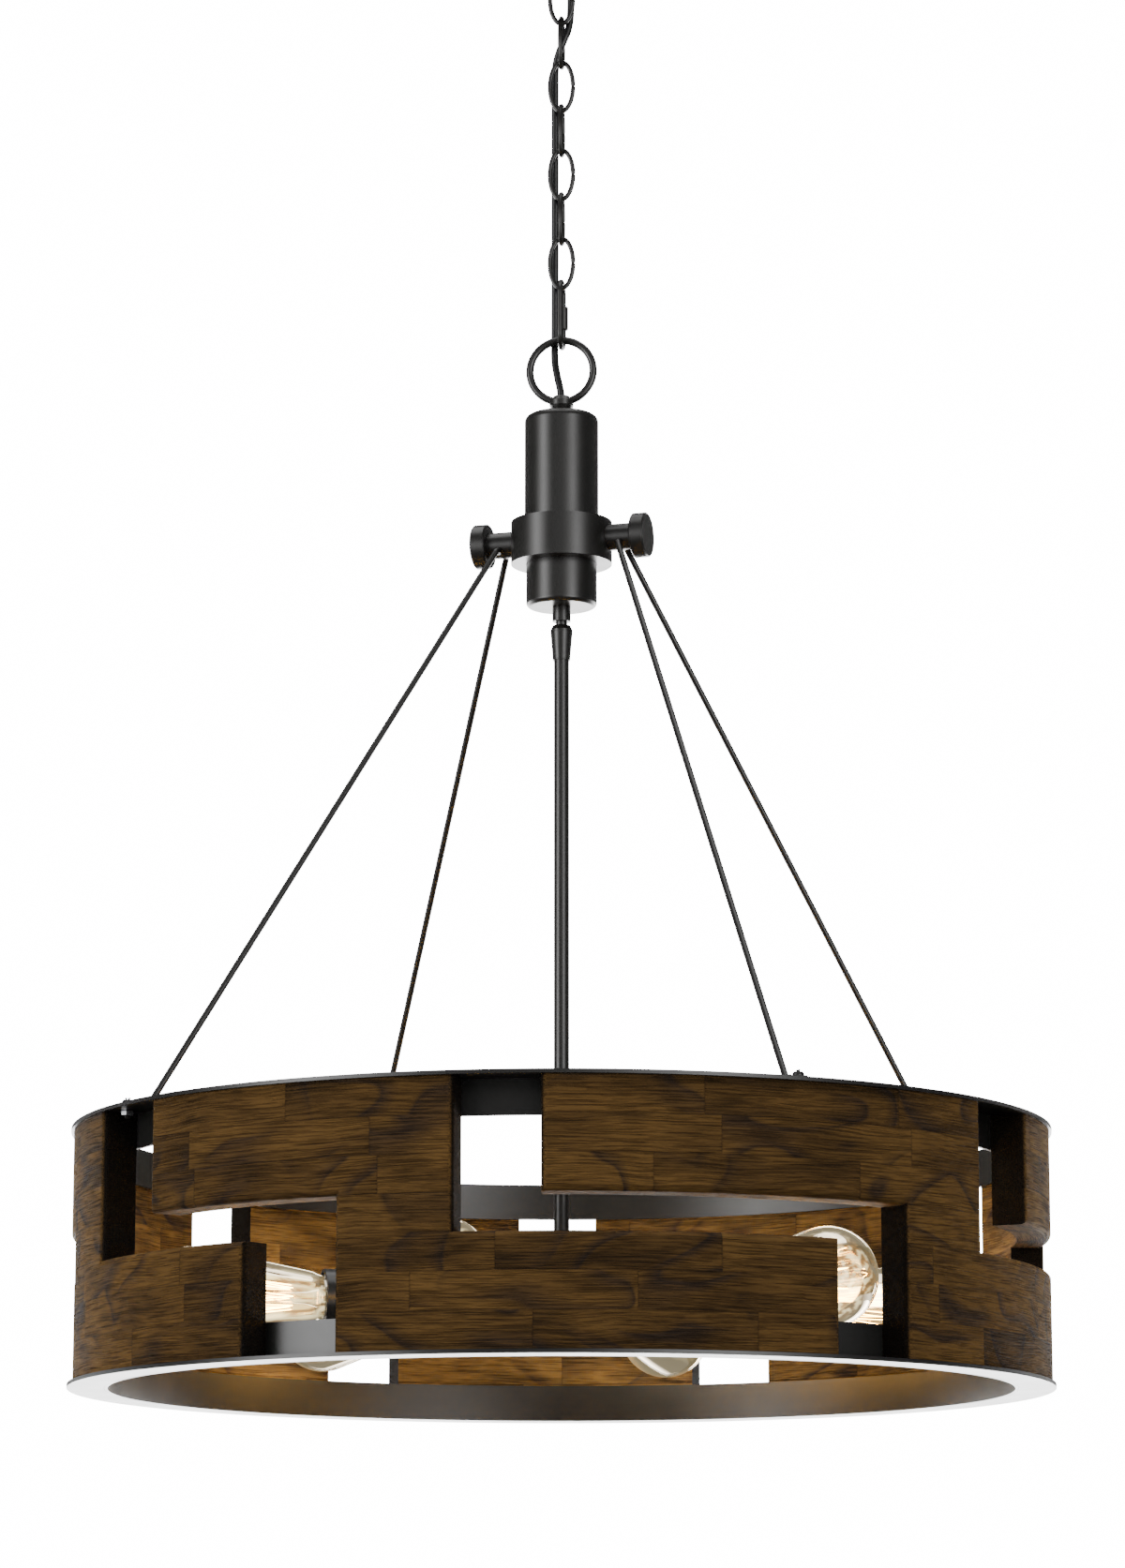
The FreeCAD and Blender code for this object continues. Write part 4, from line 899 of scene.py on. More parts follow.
@dataclass
class Chain:
    """Seven oval links of bent wire, butted at mid leg, and the quick link with its sleeve."""

    links: int = 7
    top_m: float = -47.45 * MM
    pitch_m: float = 32 * MM
    length_m: float = 38.8 * MM
    width_m: float = 19.4 * MM
    wire_m: float = 3.25 * MM
    turn: float = math.radians(10)
    seam_draw: float = 0.72
    steps: int = 22
    rounding: int = 5

    def link(self) -> bpy.types.Object:
        """One oval of wire, upright in the XZ plane, with the cut where its two ends meet.

        Returns:
            The link, its middle at the origin.
        """
        let_go()
        bpy.ops.curve.primitive_bezier_circle_add(radius=1.0, location=(0, 0, 0))
        oval = bpy.context.active_object
        oval.name = "oval_link"
        half_long, half_wide = (self.length_m - self.wire_m) / 2, (self.width_m - self.wire_m) / 2
        bpy.ops.object.mode_set(mode="EDIT")
        bpy.ops.curve.select_all(action="SELECT")
        bpy.ops.curve.handle_type_set(type="ALIGNED")
        bpy.ops.transform.resize(value=(half_wide, half_long, 1.0), center_override=(0, 0, 0))
        bpy.ops.object.mode_set(mode="OBJECT")
        oval.data.resolution_u = self.steps
        oval.data.bevel_depth = self.wire_m / 2
        oval.data.bevel_resolution = self.rounding
        bpy.ops.object.convert(target="MESH")
        oval = bpy.context.active_object
        seam = Vector((half_wide, 0, 0))
        with editing(oval):
            heal()
            # The ring of vertices where the two ends of the wire butt.
            level = 0.01 * MM
            pick(
                oval,
                lambda spot: abs(spot.y) < level and (spot - seam).length < self.wire_m,
                Element.VERTEX,
            )
            bpy.ops.transform.resize(value=(self.seam_draw,) * 3, center_override=seam)
        smooth(oval, 30)
        return put(oval, Matrix.Rotation(math.pi / 2, 4, "X"))

    def build(self) -> None:
        """Hangs the links, each turned a quarter from the last, and dresses the quick link."""
        master = dress(self.link(), BLACK_COAT)
        for number in range(1, self.links + 1):
            level = self.top_m - (number - 1) * self.pitch_m - self.length_m / 2
            quarter = 0.0 if number % 2 else math.pi / 2
            place = Matrix.Translation((0, 0, level)) @ Matrix.Rotation(self.turn + quarter, 4, "Z")
            piece = copy_at(master, f"{master.name}_{number}", place)
            fit(piece, f"link_{number}", "black_metal", f"chain_link_{number}")
        bpy.data.objects.remove(master)
        coat_nodes(["quick_link", "quick_link_nut"], BLACK_COAT)


@dataclass
class LampCord:
    """The lamp cord down the chain: one route, cut in stretches from each link to the next."""

    diameter_m: float = 5 * MM
    turn: float = math.radians(10)
    hub_reach_m: float = 26 * MM
    steps: int = 24
    rounding: int = 6
    links: int = 7
    route_mm: tuple[tuple[float, float, float], ...] = (
        (0.0, 0.0, -1.5),
        (0.0, 0.0, -38.4),
        (4.8, 4.8, -49.0),
        (5.9, 7.2, -65.0),
        (5.2, 5.3, -86.0),
        (-0.1, 3.0, -99.0),
        (-5.2, 5.4, -112.0),
        (-5.2, 5.5, -130.0),
        (-5.2, 5.7, -308.0),
        (-5.7, 5.4, -325.0),
        (-3.5, 2.5, -338.5),
        (0.0, 0.0, -352.0),
        (0.2, 0.2, -372.0),
        (0.0, 0.0, -500.0),
    )

    def line(self) -> list[Vector]:
        """The cord's smooth line.

        Returns:
            Points along the route's NURBS spline, from the ceiling down.
        """
        turn = Matrix.Rotation(self.turn, 4, "Z")
        curve = bpy.data.curves.new("cord_route", "CURVE")
        curve.dimensions = "3D"
        spline = curve.splines.new("NURBS")
        spline.points.add(len(self.route_mm) - 1)
        for point, stop in zip(spline.points, self.route_mm):
            point.co = (*(turn @ (Vector(stop) * MM)), 1.0)
        spline.order_u = 3
        spline.use_endpoint_u = True
        spline.resolution_u = self.steps
        holder = bpy.data.objects.new("cord_route", curve)
        sampled = bpy.data.meshes.new_from_object(holder)
        points = [vertex.co.copy() for vertex in sampled.vertices]
        bpy.data.meshes.remove(sampled)
        bpy.data.objects.remove(holder)
        bpy.data.curves.remove(curve)
        return points

    def stretches(self) -> list[tuple[str, str, float, float]]:
        """Each pair of neighbouring bodies, with the heights between which each stretch runs.

        Returns:
            Upper body, lower body, and the heights where the stretch starts and ends.
        """
        links = [f"link_{number}" for number in range(1, self.links + 1)]
        bodies = ["ceiling", *links, "quick_link_body", "drum"]
        joints = [link + "_swing" for link in links] + ["quick_link_swing", "drum_swing"]
        pivots = [joint_place(name).z for name in joints]
        middles = [(a + b) / 2 for a, b in zip(pivots, pivots[1:])]
        starts = [self.route_mm[1][2] * MM] + middles
        ends = middles + [pivots[-1] - self.hub_reach_m]
        return list(zip(bodies, bodies[1:], starts, ends))

    def build(self) -> None:
        """Models every stretch."""
        points = self.line()
        plan = self.stretches()
        for number, (upper, lower, start, end) in enumerate(plan, 1):
            top = 0.0 if number == 1 else start
            foot = points[-1].z if number == len(plan) else end
            path = cut_line(points, top, foot)
            piece = self.tube(f"lamp_cord_{number}", path)
            dress(piece, CORD_JACKET)
            first, last = at_height(points, start), at_height(points, end)
            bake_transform(piece)
            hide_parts("power_cord")

    def tube(self, name: str, path: Sequence[Vector]) -> bpy.types.Object:
        """A round tube with closed ends along a line.

        Args:
            name: The piece's name.
            path: The line's points.

        Returns:
            The tube, as a mesh.
        """
        curve = bpy.data.curves.new(name, "CURVE")
        curve.dimensions = "3D"
        spline = curve.splines.new("POLY")
        spline.points.add(len(path) - 1)
        for point, spot in zip(spline.points, path):
            point.co = (*spot, 1.0)
        curve.bevel_depth = self.diameter_m / 2
        curve.bevel_resolution = self.rounding
        curve.use_fill_caps = True
        piece = bpy.data.objects.new(name, curve)
        bpy.context.collection.objects.link(piece)
        take(piece)
        bpy.ops.object.convert(target="MESH")
        piece = bpy.context.active_object
        with editing(piece):
            heal()
        smooth(piece, 60)
        return piece


def at_height(points: Sequence[Vector], height: float) -> Vector:
    """The point of a falling line at a height.

    Args:
        points: The line, from the top down.
        height: The height to find.

    Returns:
        The point there, or the nearer end.
    """
    for upper, lower in zip(points, points[1:]):
        if upper.z >= height >= lower.z and upper.z > lower.z:
            return upper.lerp(lower, (upper.z - height) / (upper.z - lower.z))
    return points[0].copy() if height > points[0].z else points[-1].copy()


def cut_line(points: Sequence[Vector], top: float, foot: float) -> list[Vector]:
    """The part of a falling line between two heights.

    Args:
        points: The line, from the top down.
        top: The upper height.
        foot: The lower height.

    Returns:
        The cut line's points.
    """
    margin = 0.2 * MM
    inner = [point.copy() for point in points if foot + margin < point.z < top - margin]
    return [at_height(points, top)] + inner + [at_height(points, foot)]


# ------------------------------------------------------------------ hub, rods and drum


@dataclass
class Hub:
    """Ring, cover, collar, cup and crossbar."""

    coated: tuple[str, ...] = (
        "hanging_loop", "hub_cover", "hub_collar", "hub_cup", "rod_boss_left", "rod_boss_right",
        "knob_left", "knob_right", "swivel_neck",
    )
    plated: tuple[str, ...] = ("hub_nipple", "hub_nuts", "crossbar_studs")

    def build(self) -> None:
        """Dresses the hub's nodes."""
        coat_nodes(self.coated, BLACK_COAT)
        coat_nodes(self.plated, ZINC)


@dataclass
class Screw:
    """A domed screw with a cross drive, rolled thread and a drawn-in tip, head up along +Z."""

    name: str
    head_m: float
    crown_m: float
    head_height_m: float
    shank_m: float
    length_m: float
    thread_pitch_m: float = 1.0 * MM
    thread_depth_m: float = 0.28 * MM
    thread_runout_m: float = 0.5 * MM
    tip_share: float = 0.55
    tip_m: float = 0.4 * MM
    point_m: float = 1.2 * MM
    plain_m: float = 3.0 * MM
    slot_m: float = 0.9 * MM
    slot_depth_m: float = 1.2 * MM
    slot_angles: tuple[float, ...] = (0.0, math.pi / 2)
    slot_step_m: float = 0.02 * MM
    sides: int = 24

    def build(self) -> bpy.types.Object:
        """Turns the screw up from its tip and sinks the drive in its head.

        Returns:
            The screw, the seat of its head at the origin.
        """
        outline = [(0.0, -self.length_m), (self.tip_share * self.shank_m, -self.length_m + self.tip_m)]
        level = -self.length_m + self.point_m
        while level < -self.plain_m:
            outline.append((self.shank_m, level))
            outline.append((self.shank_m - self.thread_depth_m, level + self.thread_pitch_m / 2))
            level += self.thread_pitch_m
        end = -self.plain_m + self.thread_runout_m
        outline += [(self.shank_m, end), (self.shank_m, 0.0), (self.head_m, 0.0)]
        # The dome, as pairs of its radius and its share of the head's height.
        dome = (
            (self.head_m, 0.28), (0.96 * self.head_m, 0.5), ((self.head_m + self.crown_m) / 2, 0.82),
            (self.crown_m, 0.95), (0.5 * self.crown_m, 1.0), (0.0, 1.0),
        )
        outline += [(radius, share * self.head_height_m) for radius, share in dome]
        screw = lathe(self.name, outline, self.sides)
        for number, angle in enumerate(self.slot_angles):
            self.sink(screw, angle, number * self.slot_step_m)
        smooth(screw, 30)
        return screw

    def sink(self, screw: bpy.types.Object, angle: float, lower: float) -> None:
        """Cuts one slot, with drawn-in ends, into the head.

        Args:
            screw: The screw.
            angle: The slot's direction.
            lower: How much deeper it goes, so that two slots share no face.
        """
        let_go()
        bpy.ops.mesh.primitive_cube_add(size=1.0, location=(0, 0, 0))
        cutter = bpy.context.active_object
        size = (1.5 * self.crown_m, self.slot_m, 2 * (self.slot_depth_m + lower))
        drawn_in = (0.35, 0.6, 1.0)
        with editing(cutter):
            bpy.ops.mesh.select_all(action="SELECT")
            bpy.ops.transform.resize(value=size, center_override=(0, 0, 0))
            pick(cutter, lambda spot: spot.z < -0.9 * self.slot_depth_m, Element.FACE)
            bpy.ops.transform.resize(value=drawn_in, center_override=(0, 0, 0))
        put(cutter, Matrix.Translation((0, 0, self.head_height_m)) @ Matrix.Rotation(angle, 4, "Z"))
        carve(screw, cutter)


def fastener_circle() -> float:
    """The radius of the circle that the drum's screws stand on."""
    return (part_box("rod_screws")[1][0] - SCREW_HEAD) * math.sqrt(2)


def ring_of(
    master: bpy.types.Object, name: str, radius: float, level: float, angles: Sequence[float]
) -> bpy.types.Object:
    """Copies of one fastener round the drum, joined to one piece.

    Args:
        master: The fastener, its seat at the origin. It is used up.
        name: The joined piece's name.
        radius: The circle that they stand on.
        level: The height of their seat.
        angles: Where they stand, in degrees.

    Returns:
        The joined piece.
    """
    # Each is driven home at another angle, in radians.
    next_turn = 1.9
    copies = []
    for number, angle in enumerate(angles):
        spot = Matrix.Rotation(math.radians(angle), 4, "Z") @ Matrix.Translation((radius, 0, level))
        place = spot @ Matrix.Rotation(next_turn * number, 4, "Z")
        copies.append(copy_at(master, f"{name}_{number}", place))
    bpy.data.objects.remove(master)
    return join(name, copies)


@dataclass
class Rods:
    """Four rods, and the screws and nuts that hold their feet to the upper ring."""

    angles: tuple[float, ...] = (-45.0, 45.0, 135.0, 225.0)
    seat_m: float = 2.0 * MM
    flange_m: float = 2.5 * MM
    nut_corner_m: float = 4.05 * MM
    nut_m: float = 3.2 * MM
    nut_bore_m: float = 2.08 * MM

    def build(self) -> None:
        """Dresses the rods and makes their fasteners."""
        coat_nodes([f"rod_{number}" for number in range(1, 5)], BLACK_COAT)
        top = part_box("upper_ring")[1][2]
        radius = fastener_circle()
        screw = Screw(
            "rod_screw", head_m=SCREW_HEAD, crown_m=2.6 * MM, head_height_m=2.6 * MM, shank_m=2.0 * MM,
            length_m=10.2 * MM,
        ).build()
        dress(screw, BLACK_COAT)
        screws = ring_of(screw, "rod_screw_set", radius, top + self.seat_m, self.angles)
        fit(screws, "drum", "black_metal", "rod_screws")
        nuts = ring_of(dress(self.nut(), ZINC), "rod_nut_set", radius, top - self.flange_m, self.angles)
        fit(nuts, "drum", "zinc_steel", "rod_nuts")

    def nut(self) -> bpy.types.Object:
        """A hexagon nut, its corners turned off at both ends, hanging below the origin.

        Returns:
            The nut, its upper face at the origin.
        """
        corner, flat = self.nut_corner_m, self.nut_corner_m * math.cos(math.pi / 6)
        ends = 0.5 * (corner - flat)
        foot, hole = -self.nut_m, self.nut_bore_m
        outline = [(0.0, foot), (flat, foot), (corner, foot + ends)]
        outline += [(corner, -ends), (flat, 0.0), (0.0, 0.0)]
        nut = lathe("rod_nut", outline, 6)
        bore = [(0.0, 2 * foot), (hole, 2 * foot), (hole, self.nut_m), (0.0, self.nut_m)]
        carve(nut, lathe("rod_nut_bore", bore, 24))
        smooth(nut, 20)
        return nut


@dataclass
class Drum:
    """Two L-section rings with six Z-shaped blocks of glued boards between them.

    The blocks stand in pairs, a third of the way round from each other. All angles are in degrees.
    """

    third: float = 120.0
    pitch: float = 67.8
    first_neck: float = -91.95
    turns: tuple[float, ...] = (0.95, -0.7, 0.0, 0.1, -0.45, 0.2)
    staves: int = 7
    neck: float = 13.5
    bar_gap: float = 11.1
    inset: float = 8.0

    def build(self) -> None:
        """Coats the rings and gives each block its own boards."""
        coat_nodes(["upper_ring", "lower_ring"], BLACK_COAT)
        coat_nodes(["block_dowels"], ZINC)
        # Their heads are driven nearly flush: the photograph shows none over the drum's edge.
        screw = Screw(
            "wood_screw", head_m=SCREW_HEAD, crown_m=2.59 * MM, head_height_m=1.0 * MM, shank_m=2.0 * MM,
            length_m=30 * MM, plain_m=6 * MM, slot_depth_m=0.7 * MM,
        ).build()
        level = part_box("upper_ring")[1][2]
        dress(screw, BLACK_COAT)
        screws = ring_of(screw, "wood_screw_set", fastener_circle(), level, self.screw_angles())
        fit(screws, "drum", "black_metal", "block_screws")
        foot, top = (corner[2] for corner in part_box("wood_block_1"))
        for number, middle in enumerate(self.neck_angles(), 1):
            # Each block shows its own figure and tones, as boards from different planks do.
            boards = BrushedBoards(
                f"wire_brushed_boards_{number}", middle_angle=math.radians(middle), foot_m=foot,
                stave_m=(top - foot) / self.staves, seed=float(3 * number),
            )
            coat_nodes([f"wood_block_{number}"], boards)

    def neck_angles(self) -> list[float]:
        """Where the middle of each block's neck stands."""
        return [
            self.first_neck + self.third * (number // 2) + self.pitch * (number % 2) + turn
            for number, turn in enumerate(self.turns)
        ]

    def screw_angles(self) -> list[float]:
        """Two screws in each block's upper bar, a little in from its ends.

        Returns:
            The screws' angles round the drum.
        """
        angles = []
        for number, middle in enumerate(self.neck_angles()):
            right = middle + self.neck / 2
            bar = (self.pitch if number % 2 else self.third - self.pitch) - self.bar_gap
            angles += [right - bar + self.inset, right - self.inset]
        return angles


# ------------------------------------------------------------------ lamps


@dataclass
class LampCluster:
    """Stem, can, arms and lamp holders."""

    coated: tuple[str, ...] = (
        "swivel_socket", "stem_tube", "cluster_body", "cluster_plate", "cluster_finial", "socket_arms",
        "socket_covers",
    )

    def build(self) -> None:
        """Dresses the cluster's nodes."""
        coat_nodes(self.coated, BLACK_COAT)
        coat_nodes(["socket_shells"], CERAMIC)
        coat_nodes(["inner_wiring"], LEAD_JACKET)


@dataclass
class FilamentBulb:
    """A clear pear-shaped bulb with a cage of hot wire, modelled once along +Z and copied."""

    tip_m: float = 138 * MM
    mouth_m: float = 163 * MM
    centre_m: float = 246 * MM
    radius_m: float = 31.9 * MM
    neck_m: float = 14.6 * MM
    shoulder_m: float = 17.8 * MM
    shoulder_rise_m: float = 7 * MM
    base_m: float = 13.15 * MM
    wall_m: float = 0.9 * MM
    lip_m: float = 0.6 * MM
    thread_pitch_m: float = 3.6 * MM
    thread_depth_m: float = 0.55 * MM
    cage_foot_m: float = 18 * MM
    cage_head_m: float = 3 * MM
    cage_foot_radius_m: float = 8 * MM
    cage_head_radius_m: float = 17 * MM
    # The real wire is a third as thick: the glow makes it look like this.
    wire_radius_m: float = 0.30 * MM
    hook_radius_m: float = 0.2 * MM
    rounds: int = 16
    hairpins: int = 8
    watts: float = 0.42
    light_colour: str = "#fff0d8"
    light_radius_m: float = 9 * MM
    # How strong the painted streaks of the wire's light are in the glass.
    painted_streaks: float = 0.9
    angles: tuple[float, ...] = tuple(math.radians(30 + 60 * step) for step in range(6))

    def glass(self) -> bpy.types.Object:
        """The envelope: a short neck, a cone and a round end, blown thin.

        Returns:
            The envelope, with its wall.
        """
        mouth, shoulder = self.mouth_m, self.mouth_m + self.shoulder_rise_m
        # The angle below level at which the cone's straight side touches the round end.
        length = self.centre_m - shoulder
        reach = length**2 + self.shoulder_m**2
        root = math.sqrt(reach - self.radius_m**2)
        sine = (self.radius_m * length - self.shoulder_m * root) / reach
        start = -math.asin(sine)
        outline = [
            (self.base_m - 1.0 * MM, mouth - 4 * MM),
            (self.neck_m, mouth - 2.2 * MM),
            (self.neck_m + 0.8 * MM, mouth + 0.5 * MM),
            (self.shoulder_m - 0.9 * MM, shoulder - 3.5 * MM),
            (self.shoulder_m, shoulder),
        ]
        for step in range(self.rounds + 1):
            angle = start + (math.pi / 2 - start) * step / self.rounds
            radius = self.radius_m * math.cos(angle) if step < self.rounds else 0.0
            outline.append((radius, self.centre_m + self.radius_m * math.sin(angle)))
        piece = lathe("bulb_glass", outline, 64)
        take(piece)
        shell = piece.modifiers.new("wall", "SOLIDIFY")
        shell.thickness = self.wall_m
        shell.offset = -1.0
        bpy.ops.object.modifier_apply(modifier=shell.name)
        smooth(piece, 40)
        return piece

    def base(self) -> bpy.types.Object:
        """The rolled screw base with its rounded threads.

        Returns:
            The base.
        """
        pitch, root = self.thread_pitch_m, self.base_m - self.thread_depth_m
        lip = self.mouth_m + self.lip_m
        shoulder, height = self.tip_m + 2.2 * MM, self.tip_m + 5.2 * MM
        outline = [(0.0, shoulder), (self.base_m * 0.45, shoulder), (root, height)]
        while height + pitch < self.mouth_m - 1.5 * MM:
            outline += [(self.base_m, height + 0.5 * pitch), (root, height + pitch)]
            height += pitch
        outline += [(self.base_m, self.mouth_m - 1.0 * MM), (self.base_m, lip), (0.0, lip)]
        return dress(lathe("bulb_base", outline, 40), NICKEL)

    def contact(self) -> bpy.types.Object:
        """The solder button at the base's foot.

        Returns:
            The contact.
        """
        foot, head = self.tip_m, self.tip_m + 2.3 * MM
        outline = [(0.0, foot), (3.0 * MM, foot + 0.4 * MM), (5.2 * MM, head), (0.0, head)]
        return dress(lathe("bulb_contact", outline, 24), BRASS)

    def mount(self) -> bpy.types.Object:
        """The glass stem that carries the wires.

        Returns:
            The glass stem.
        """
        foot, head = self.mouth_m + self.lip_m, self.centre_m
        outline = [
            (0.0, foot), (6.5 * MM, foot), (4.2 * MM, foot + 8 * MM), (3.4 * MM, foot + 24 * MM),
            (1.6 * MM, foot + 30 * MM), (1.4 * MM, head + 2 * MM), (2.4 * MM, head + 4 * MM),
            (0.0, head + 6 * MM),
        ]
        return dress(lathe("bulb_mount", outline, 24), STEM_GLASS)

    def cage(self) -> tuple[bpy.types.Object, bpy.types.Object]:
        """The filament's hairpins and the hooks that hold them.

        Returns:
            The glowing wire and its support hooks.
        """
        low, high = self.mouth_m + self.cage_foot_m, self.centre_m + self.cage_head_m
        near, far = self.cage_foot_radius_m, self.cage_head_radius_m
        wires, hooks = [], []
        count = 2 * self.hairpins
        for step in range(count):
            one, two = math.tau * step / count, math.tau * (step + 1) / count
            if step % 2:
                one, two = two, one
            foot = Vector((near * math.cos(one), near * math.sin(one), low))
            head = Vector((far * math.cos(two), far * math.sin(two), high))
            wires.append(rod_between(f"wire_{step}", foot, head, self.wire_radius_m, 6))
            if step % 2:
                for end, level, spot in (("top", high, head), ("foot", low - 3 * MM, foot)):
                    root = Vector((0, 0, level))
                    hooks.append(rod_between(f"{end}_hook_{step}", root, spot, self.hook_radius_m, 5))
        wire, hook = join("bulb_filament", wires), join("bulb_hooks", hooks)
        return dress(wire, FILAMENT), dress(hook, SUPPORT_WIRE)

    def build(self) -> None:
        """Models one bulb and puts a copy in each lamp holder."""
        wire, hooks = self.cage()
        masters = [
            (self.glass(), "clear_glass"), (self.base(), "zinc_steel"), (self.contact(), "zinc_steel"),
            (self.mount(), "clear_glass"), (wire, "clear_glass"), (hooks, "zinc_steel"),
        ]
        level = sum(corner[2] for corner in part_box("socket_arms")) / 2
        for number, angle in enumerate(self.angles, 1):
            outwards = Matrix.Rotation(angle, 4, "Z") @ Matrix.Rotation(math.pi / 2, 4, "Y")
            place = Matrix.Translation((0, 0, level)) @ outwards
            # Clear, with a painted cream glow, a painted rim highlight and painted golden streaks that
            # follow this bulb's axis.
            name = f"clear_blown_glass_{number}"
            envelope = BlownGlass(name, turn=angle, level_m=level, painted_streaks=self.painted_streaks)
            for master, slot in masters:
                piece = copy_at(master, f"{master.name}_{number}", place)
                if master is masters[0][0]:
                    dress(piece, envelope)
                if slot == "clear_glass":
                    # Their glow is drawn for the eye; the lamp's own light below lights the drum.
                    piece.visible_diffuse = False
                    piece.visible_glossy = master is wire
                fit(piece, f"lamp_{number}", slot, f"bulb_{number}")
            self.light(number, place @ Vector((0, 0, self.centre_m - 6 * MM)))
        for master, _ in masters:
            bpy.data.objects.remove(master)

    def light(self, number: int, middle: Vector) -> None:
        """The bulb's own warm light, since the wire is too fine to light the drum by itself.

        Args:
            number: The bulb's number.
            middle: The middle of its round end.
        """
        glow = add_light(f"bulb_light_{number}", LightKind.POINT, self.watts, middle)
        glow.data.color = linear(self.light_colour)[:3]
        glow.data.shadow_soft_size = self.light_radius_m
        glow.visible_glossy = False


def rod_between(name: str, start: Vector, end: Vector, radius: float, sides: int) -> bpy.types.Object:
    """A thin straight wire with slightly drawn-in ends.

    Args:
        name: The piece's name.
        start: One end.
        end: The other end.
        radius: Half the wire's thickness.
        sides: Faces round.

    Returns:
        The wire.
    """
    way, worn = end - start, radius * 0.7
    outline = [(worn, 0.0), (radius, radius), (radius, way.length - radius), (worn, way.length)]
    turned = way.to_track_quat("Z", "Y").to_matrix().to_4x4()
    return put(lathe(name, outline, sides), Matrix.Translation(start) @ turned)


# ------------------------------------------------------------------ studio


class LightKind(Enum):
    """How a light spreads."""

    POINT = "POINT"
    AREA = "AREA"
    SUN = "SUN"


def add_light(name: str, kind: LightKind, energy: float, place: Vector) -> bpy.types.Object:
    """Adds a light.

    Args:
        name: The light's name.
        kind: How it spreads.
        energy: Its power in watts, or a sun's strength.
        place: Where it stands.

    Returns:
        The light's object.
    """
    light = bpy.data.lights.new(name, kind.value)
    light.energy = energy
    holder = bpy.data.objects.new(name, light)
    holder.location = place
    bpy.context.collection.objects.link(holder)
    return holder


@dataclass(frozen=True)
class SoftBox:
    """A rectangular light that faces the lamp, its angle counted from the camera's towards the right."""

    name: str
    degrees: float
    above_middle_m: float
    distance_m: float
    width_m: float
    height_m: float
    watts: float


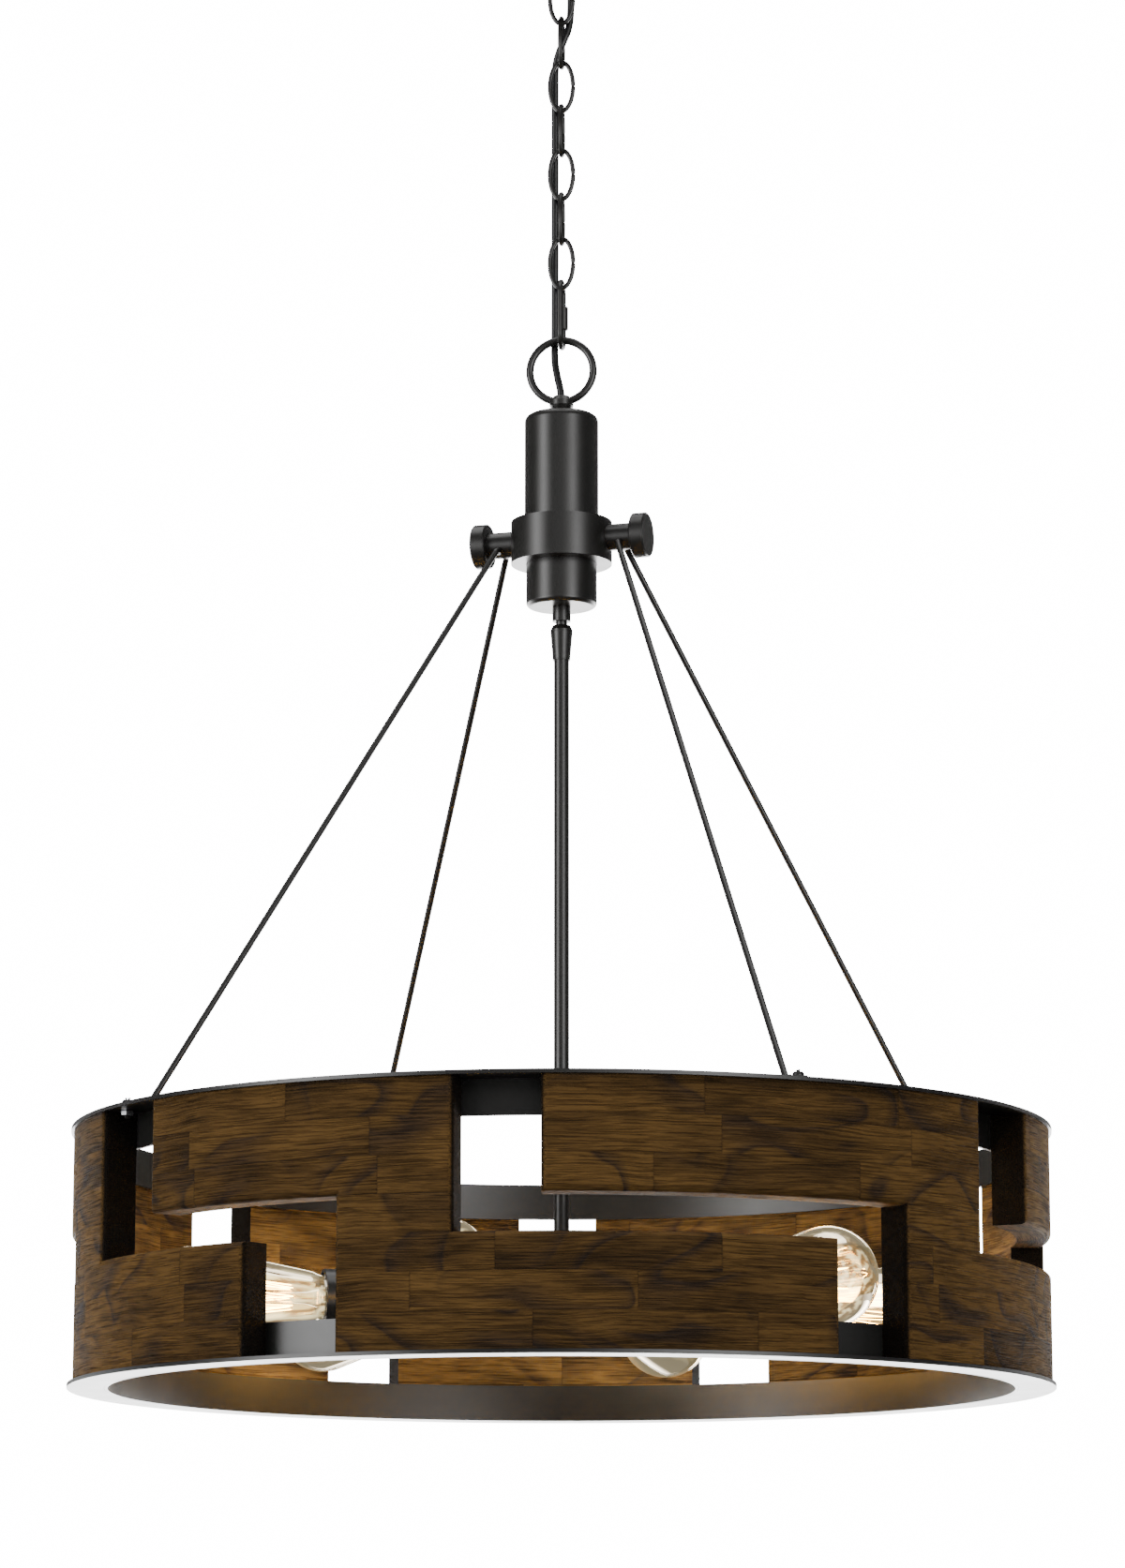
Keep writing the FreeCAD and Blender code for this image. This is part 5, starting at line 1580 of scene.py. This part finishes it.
@dataclass
class Studio:
    """White surroundings, soft boxes to both sides, and the camera where the photographer stood."""

    azimuth: float = math.radians(17.4)
    pitch: float = math.radians(11.196)
    distance_m: float = 3.2143
    below_drum_m: float = 0.2277
    lens_mm: float = 111.28
    film_mm: float = 36.0
    centre_px: float = 598.95
    picture_px: tuple[int, int] = (1200, 1673)
    floor_drop_m: float = 3.2
    floor_m: float = 40.0
    middle_m: float = 0.35
    boxes: tuple[SoftBox, ...] = (
        SoftBox("left_box", -58, 0.2, 2.6, 0.45, 2.4, 13),
        SoftBox("right_box", 35, 0.2, 2.6, 0.35, 2.4, 8),
        SoftBox("front_box", -5, 1.3, 3.4, 2.2, 1.4, 7),
    )
    strips: tuple[tuple[float, float], ...] = ((-58.0, 1.0), (34.0, 0.75))
    backdrop: float = 16.0
    table_glow: float = 13.0
    strip_glow: float = 6.5
    room_glow: float = 0.12
    fill: float = 0.16
    aim_m: float = 0.3
    sun_m: float = 3.0
    sun_strength: float = 2.0
    sun_spread: float = 60.0
    view_m: float = 60.0

    def build(self) -> None:
        """Sets the floor, the lights and the camera."""
        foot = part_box("lower_ring")[0][2]
        self.floor(foot - self.floor_drop_m)
        self.world()
        self.camera(foot - self.below_drum_m)
        for box in self.boxes:
            self.soft_box(box, foot)
        self.overhead(foot)

    def floor(self, level: float) -> None:
        """A wide sheet of pale paper under the lamp, which throws no light back up at it.

        Args:
            level: Its height.
        """
        let_go()
        bpy.ops.mesh.primitive_plane_add(size=self.floor_m, location=(0, 0, level))
        sheet = bpy.context.active_object
        sheet.name = "studio_floor"
        bpy.ops.object.transform_apply(location=True, rotation=True, scale=True)
        sheet.visible_glossy = False
        sheet.visible_diffuse = False
        dress(sheet, PAPER)

    def world(self) -> None:
        """A white backdrop, a dim even room, and a light table's glow that only gloss picks up."""
        world = bpy.data.worlds.new("white_surround")
        world.use_nodes = True
        world.node_tree.nodes.clear()
        add = partial(add_node, world.node_tree)
        ray = add("LightPath")
        direction = add("TexCoord").outputs["Generated"]
        rising = add("SeparateXYZ", (direction,)).outputs["Z"]
        far = (-math.sin(self.azimuth), math.cos(self.azimuth), 0.0)
        ahead = add("VectorMath", (direction, far), operation="DOT_PRODUCT")
        # The glow lies below the level of the eye and ahead of it.
        level = add("Math", (rising, 0.5), operation="ADD")
        level = add("ValToRGB", (level,), [(0.02, 0.0), (0.22, 1.0), (0.47, 1.0), (0.52, 0.0)])
        ahead = add("ValToRGB", (ahead,), [(0.35, 0.0), (0.8, 1.0)])
        table = add("Math", (level, ahead), operation="MULTIPLY")
        above_room = self.table_glow - self.room_glow
        mirrored = add("Math", (table, above_room, self.room_glow), operation="MULTIPLY_ADD")
        for degrees, share in self.strips:
            angle = self.azimuth + math.radians(degrees)
            towards = (math.sin(angle), -math.cos(angle), 0.0)
            near = add("VectorMath", (direction, towards), operation="DOT_PRODUCT")
            strip = add("ValToRGB", (near,), [(0.90, 0.0), (0.985, 1.0)])
            mirrored = add("Math", (strip, self.strip_glow * share, mirrored), operation="MULTIPLY_ADD")
        # Glossy rays see the glow and the strips, camera rays the backdrop, and all others the fill.
        lit = add("Math", (mirrored, self.fill), operation="SUBTRACT")
        lit = add("Math", (ray.outputs["Is Glossy Ray"], lit, self.fill), operation="MULTIPLY_ADD")
        seen = add("Math", (self.backdrop, lit), operation="SUBTRACT")
        strength = add("Math", (ray.outputs["Is Camera Ray"], seen, lit), operation="MULTIPLY_ADD")
        light = add("Background", {"Color": (1.0, 1.0, 1.0, 1.0), "Strength": strength})
        add("OutputWorld", {"Surface": light})
        bpy.context.scene.world = world

    def soft_box(self, box: SoftBox, foot: float) -> None:
        """Sets up one rectangular light.

        Args:
            box: The light.
            foot: The height of the drum's foot.
        """
        angle = self.azimuth + math.radians(box.degrees)
        height = foot + self.middle_m + box.above_middle_m
        place = Vector((math.sin(angle) * box.distance_m, -math.cos(angle) * box.distance_m, height))
        lamp = add_light(box.name, LightKind.AREA, box.watts, place)
        lamp.data.shape = "RECTANGLE"
        lamp.data.size, lamp.data.size_y = box.width_m, box.height_m
        target = Vector((0, 0, foot + self.aim_m))
        lamp.rotation_euler = (target - place).to_track_quat("-Z", "Y").to_euler()

    def overhead(self, foot: float) -> None:
        """A broad light from above, on the lamp's upper faces and the floor.

        Args:
            foot: The height of the drum's foot.
        """
        above = Vector((0, 0, foot + self.sun_m))
        wash = add_light("floor_wash", LightKind.SUN, self.sun_strength, above)
        wash.data.angle = math.radians(self.sun_spread)

    def camera(self, level: float) -> None:
        """The camera at the photograph's place and angle.

        Args:
            level: The lens's height.
        """
        data = bpy.data.cameras.new("photograph")
        data.sensor_fit = "VERTICAL"
        data.sensor_height = self.film_mm
        data.lens = self.lens_mm
        width, height = self.picture_px
        data.shift_x = (width / 2 - self.centre_px) / height
        data.clip_end = self.view_m
        eye = bpy.data.objects.new("photograph", data)
        across, back = math.sin(self.azimuth), -math.cos(self.azimuth)
        eye.location = (across * self.distance_m, back * self.distance_m, level)
        eye.rotation_euler = (math.pi / 2 + self.pitch, 0.0, self.azimuth)
        bpy.context.collection.objects.link(eye)
        bpy.context.scene.camera = eye


def main() -> None:
    """Builds every sub-assembly over the frame."""
    logging.basicConfig(level=logging.INFO, format="%(message)s")
    Studio().build()
    for assembly in (LampCord, CeilingFitting, Chain, Hub, Rods, Drum, LampCluster, FilamentBulb):
        log.info("building %s", assembly.__name__)
        assembly().build()


if __name__ == "__main__":
    main()
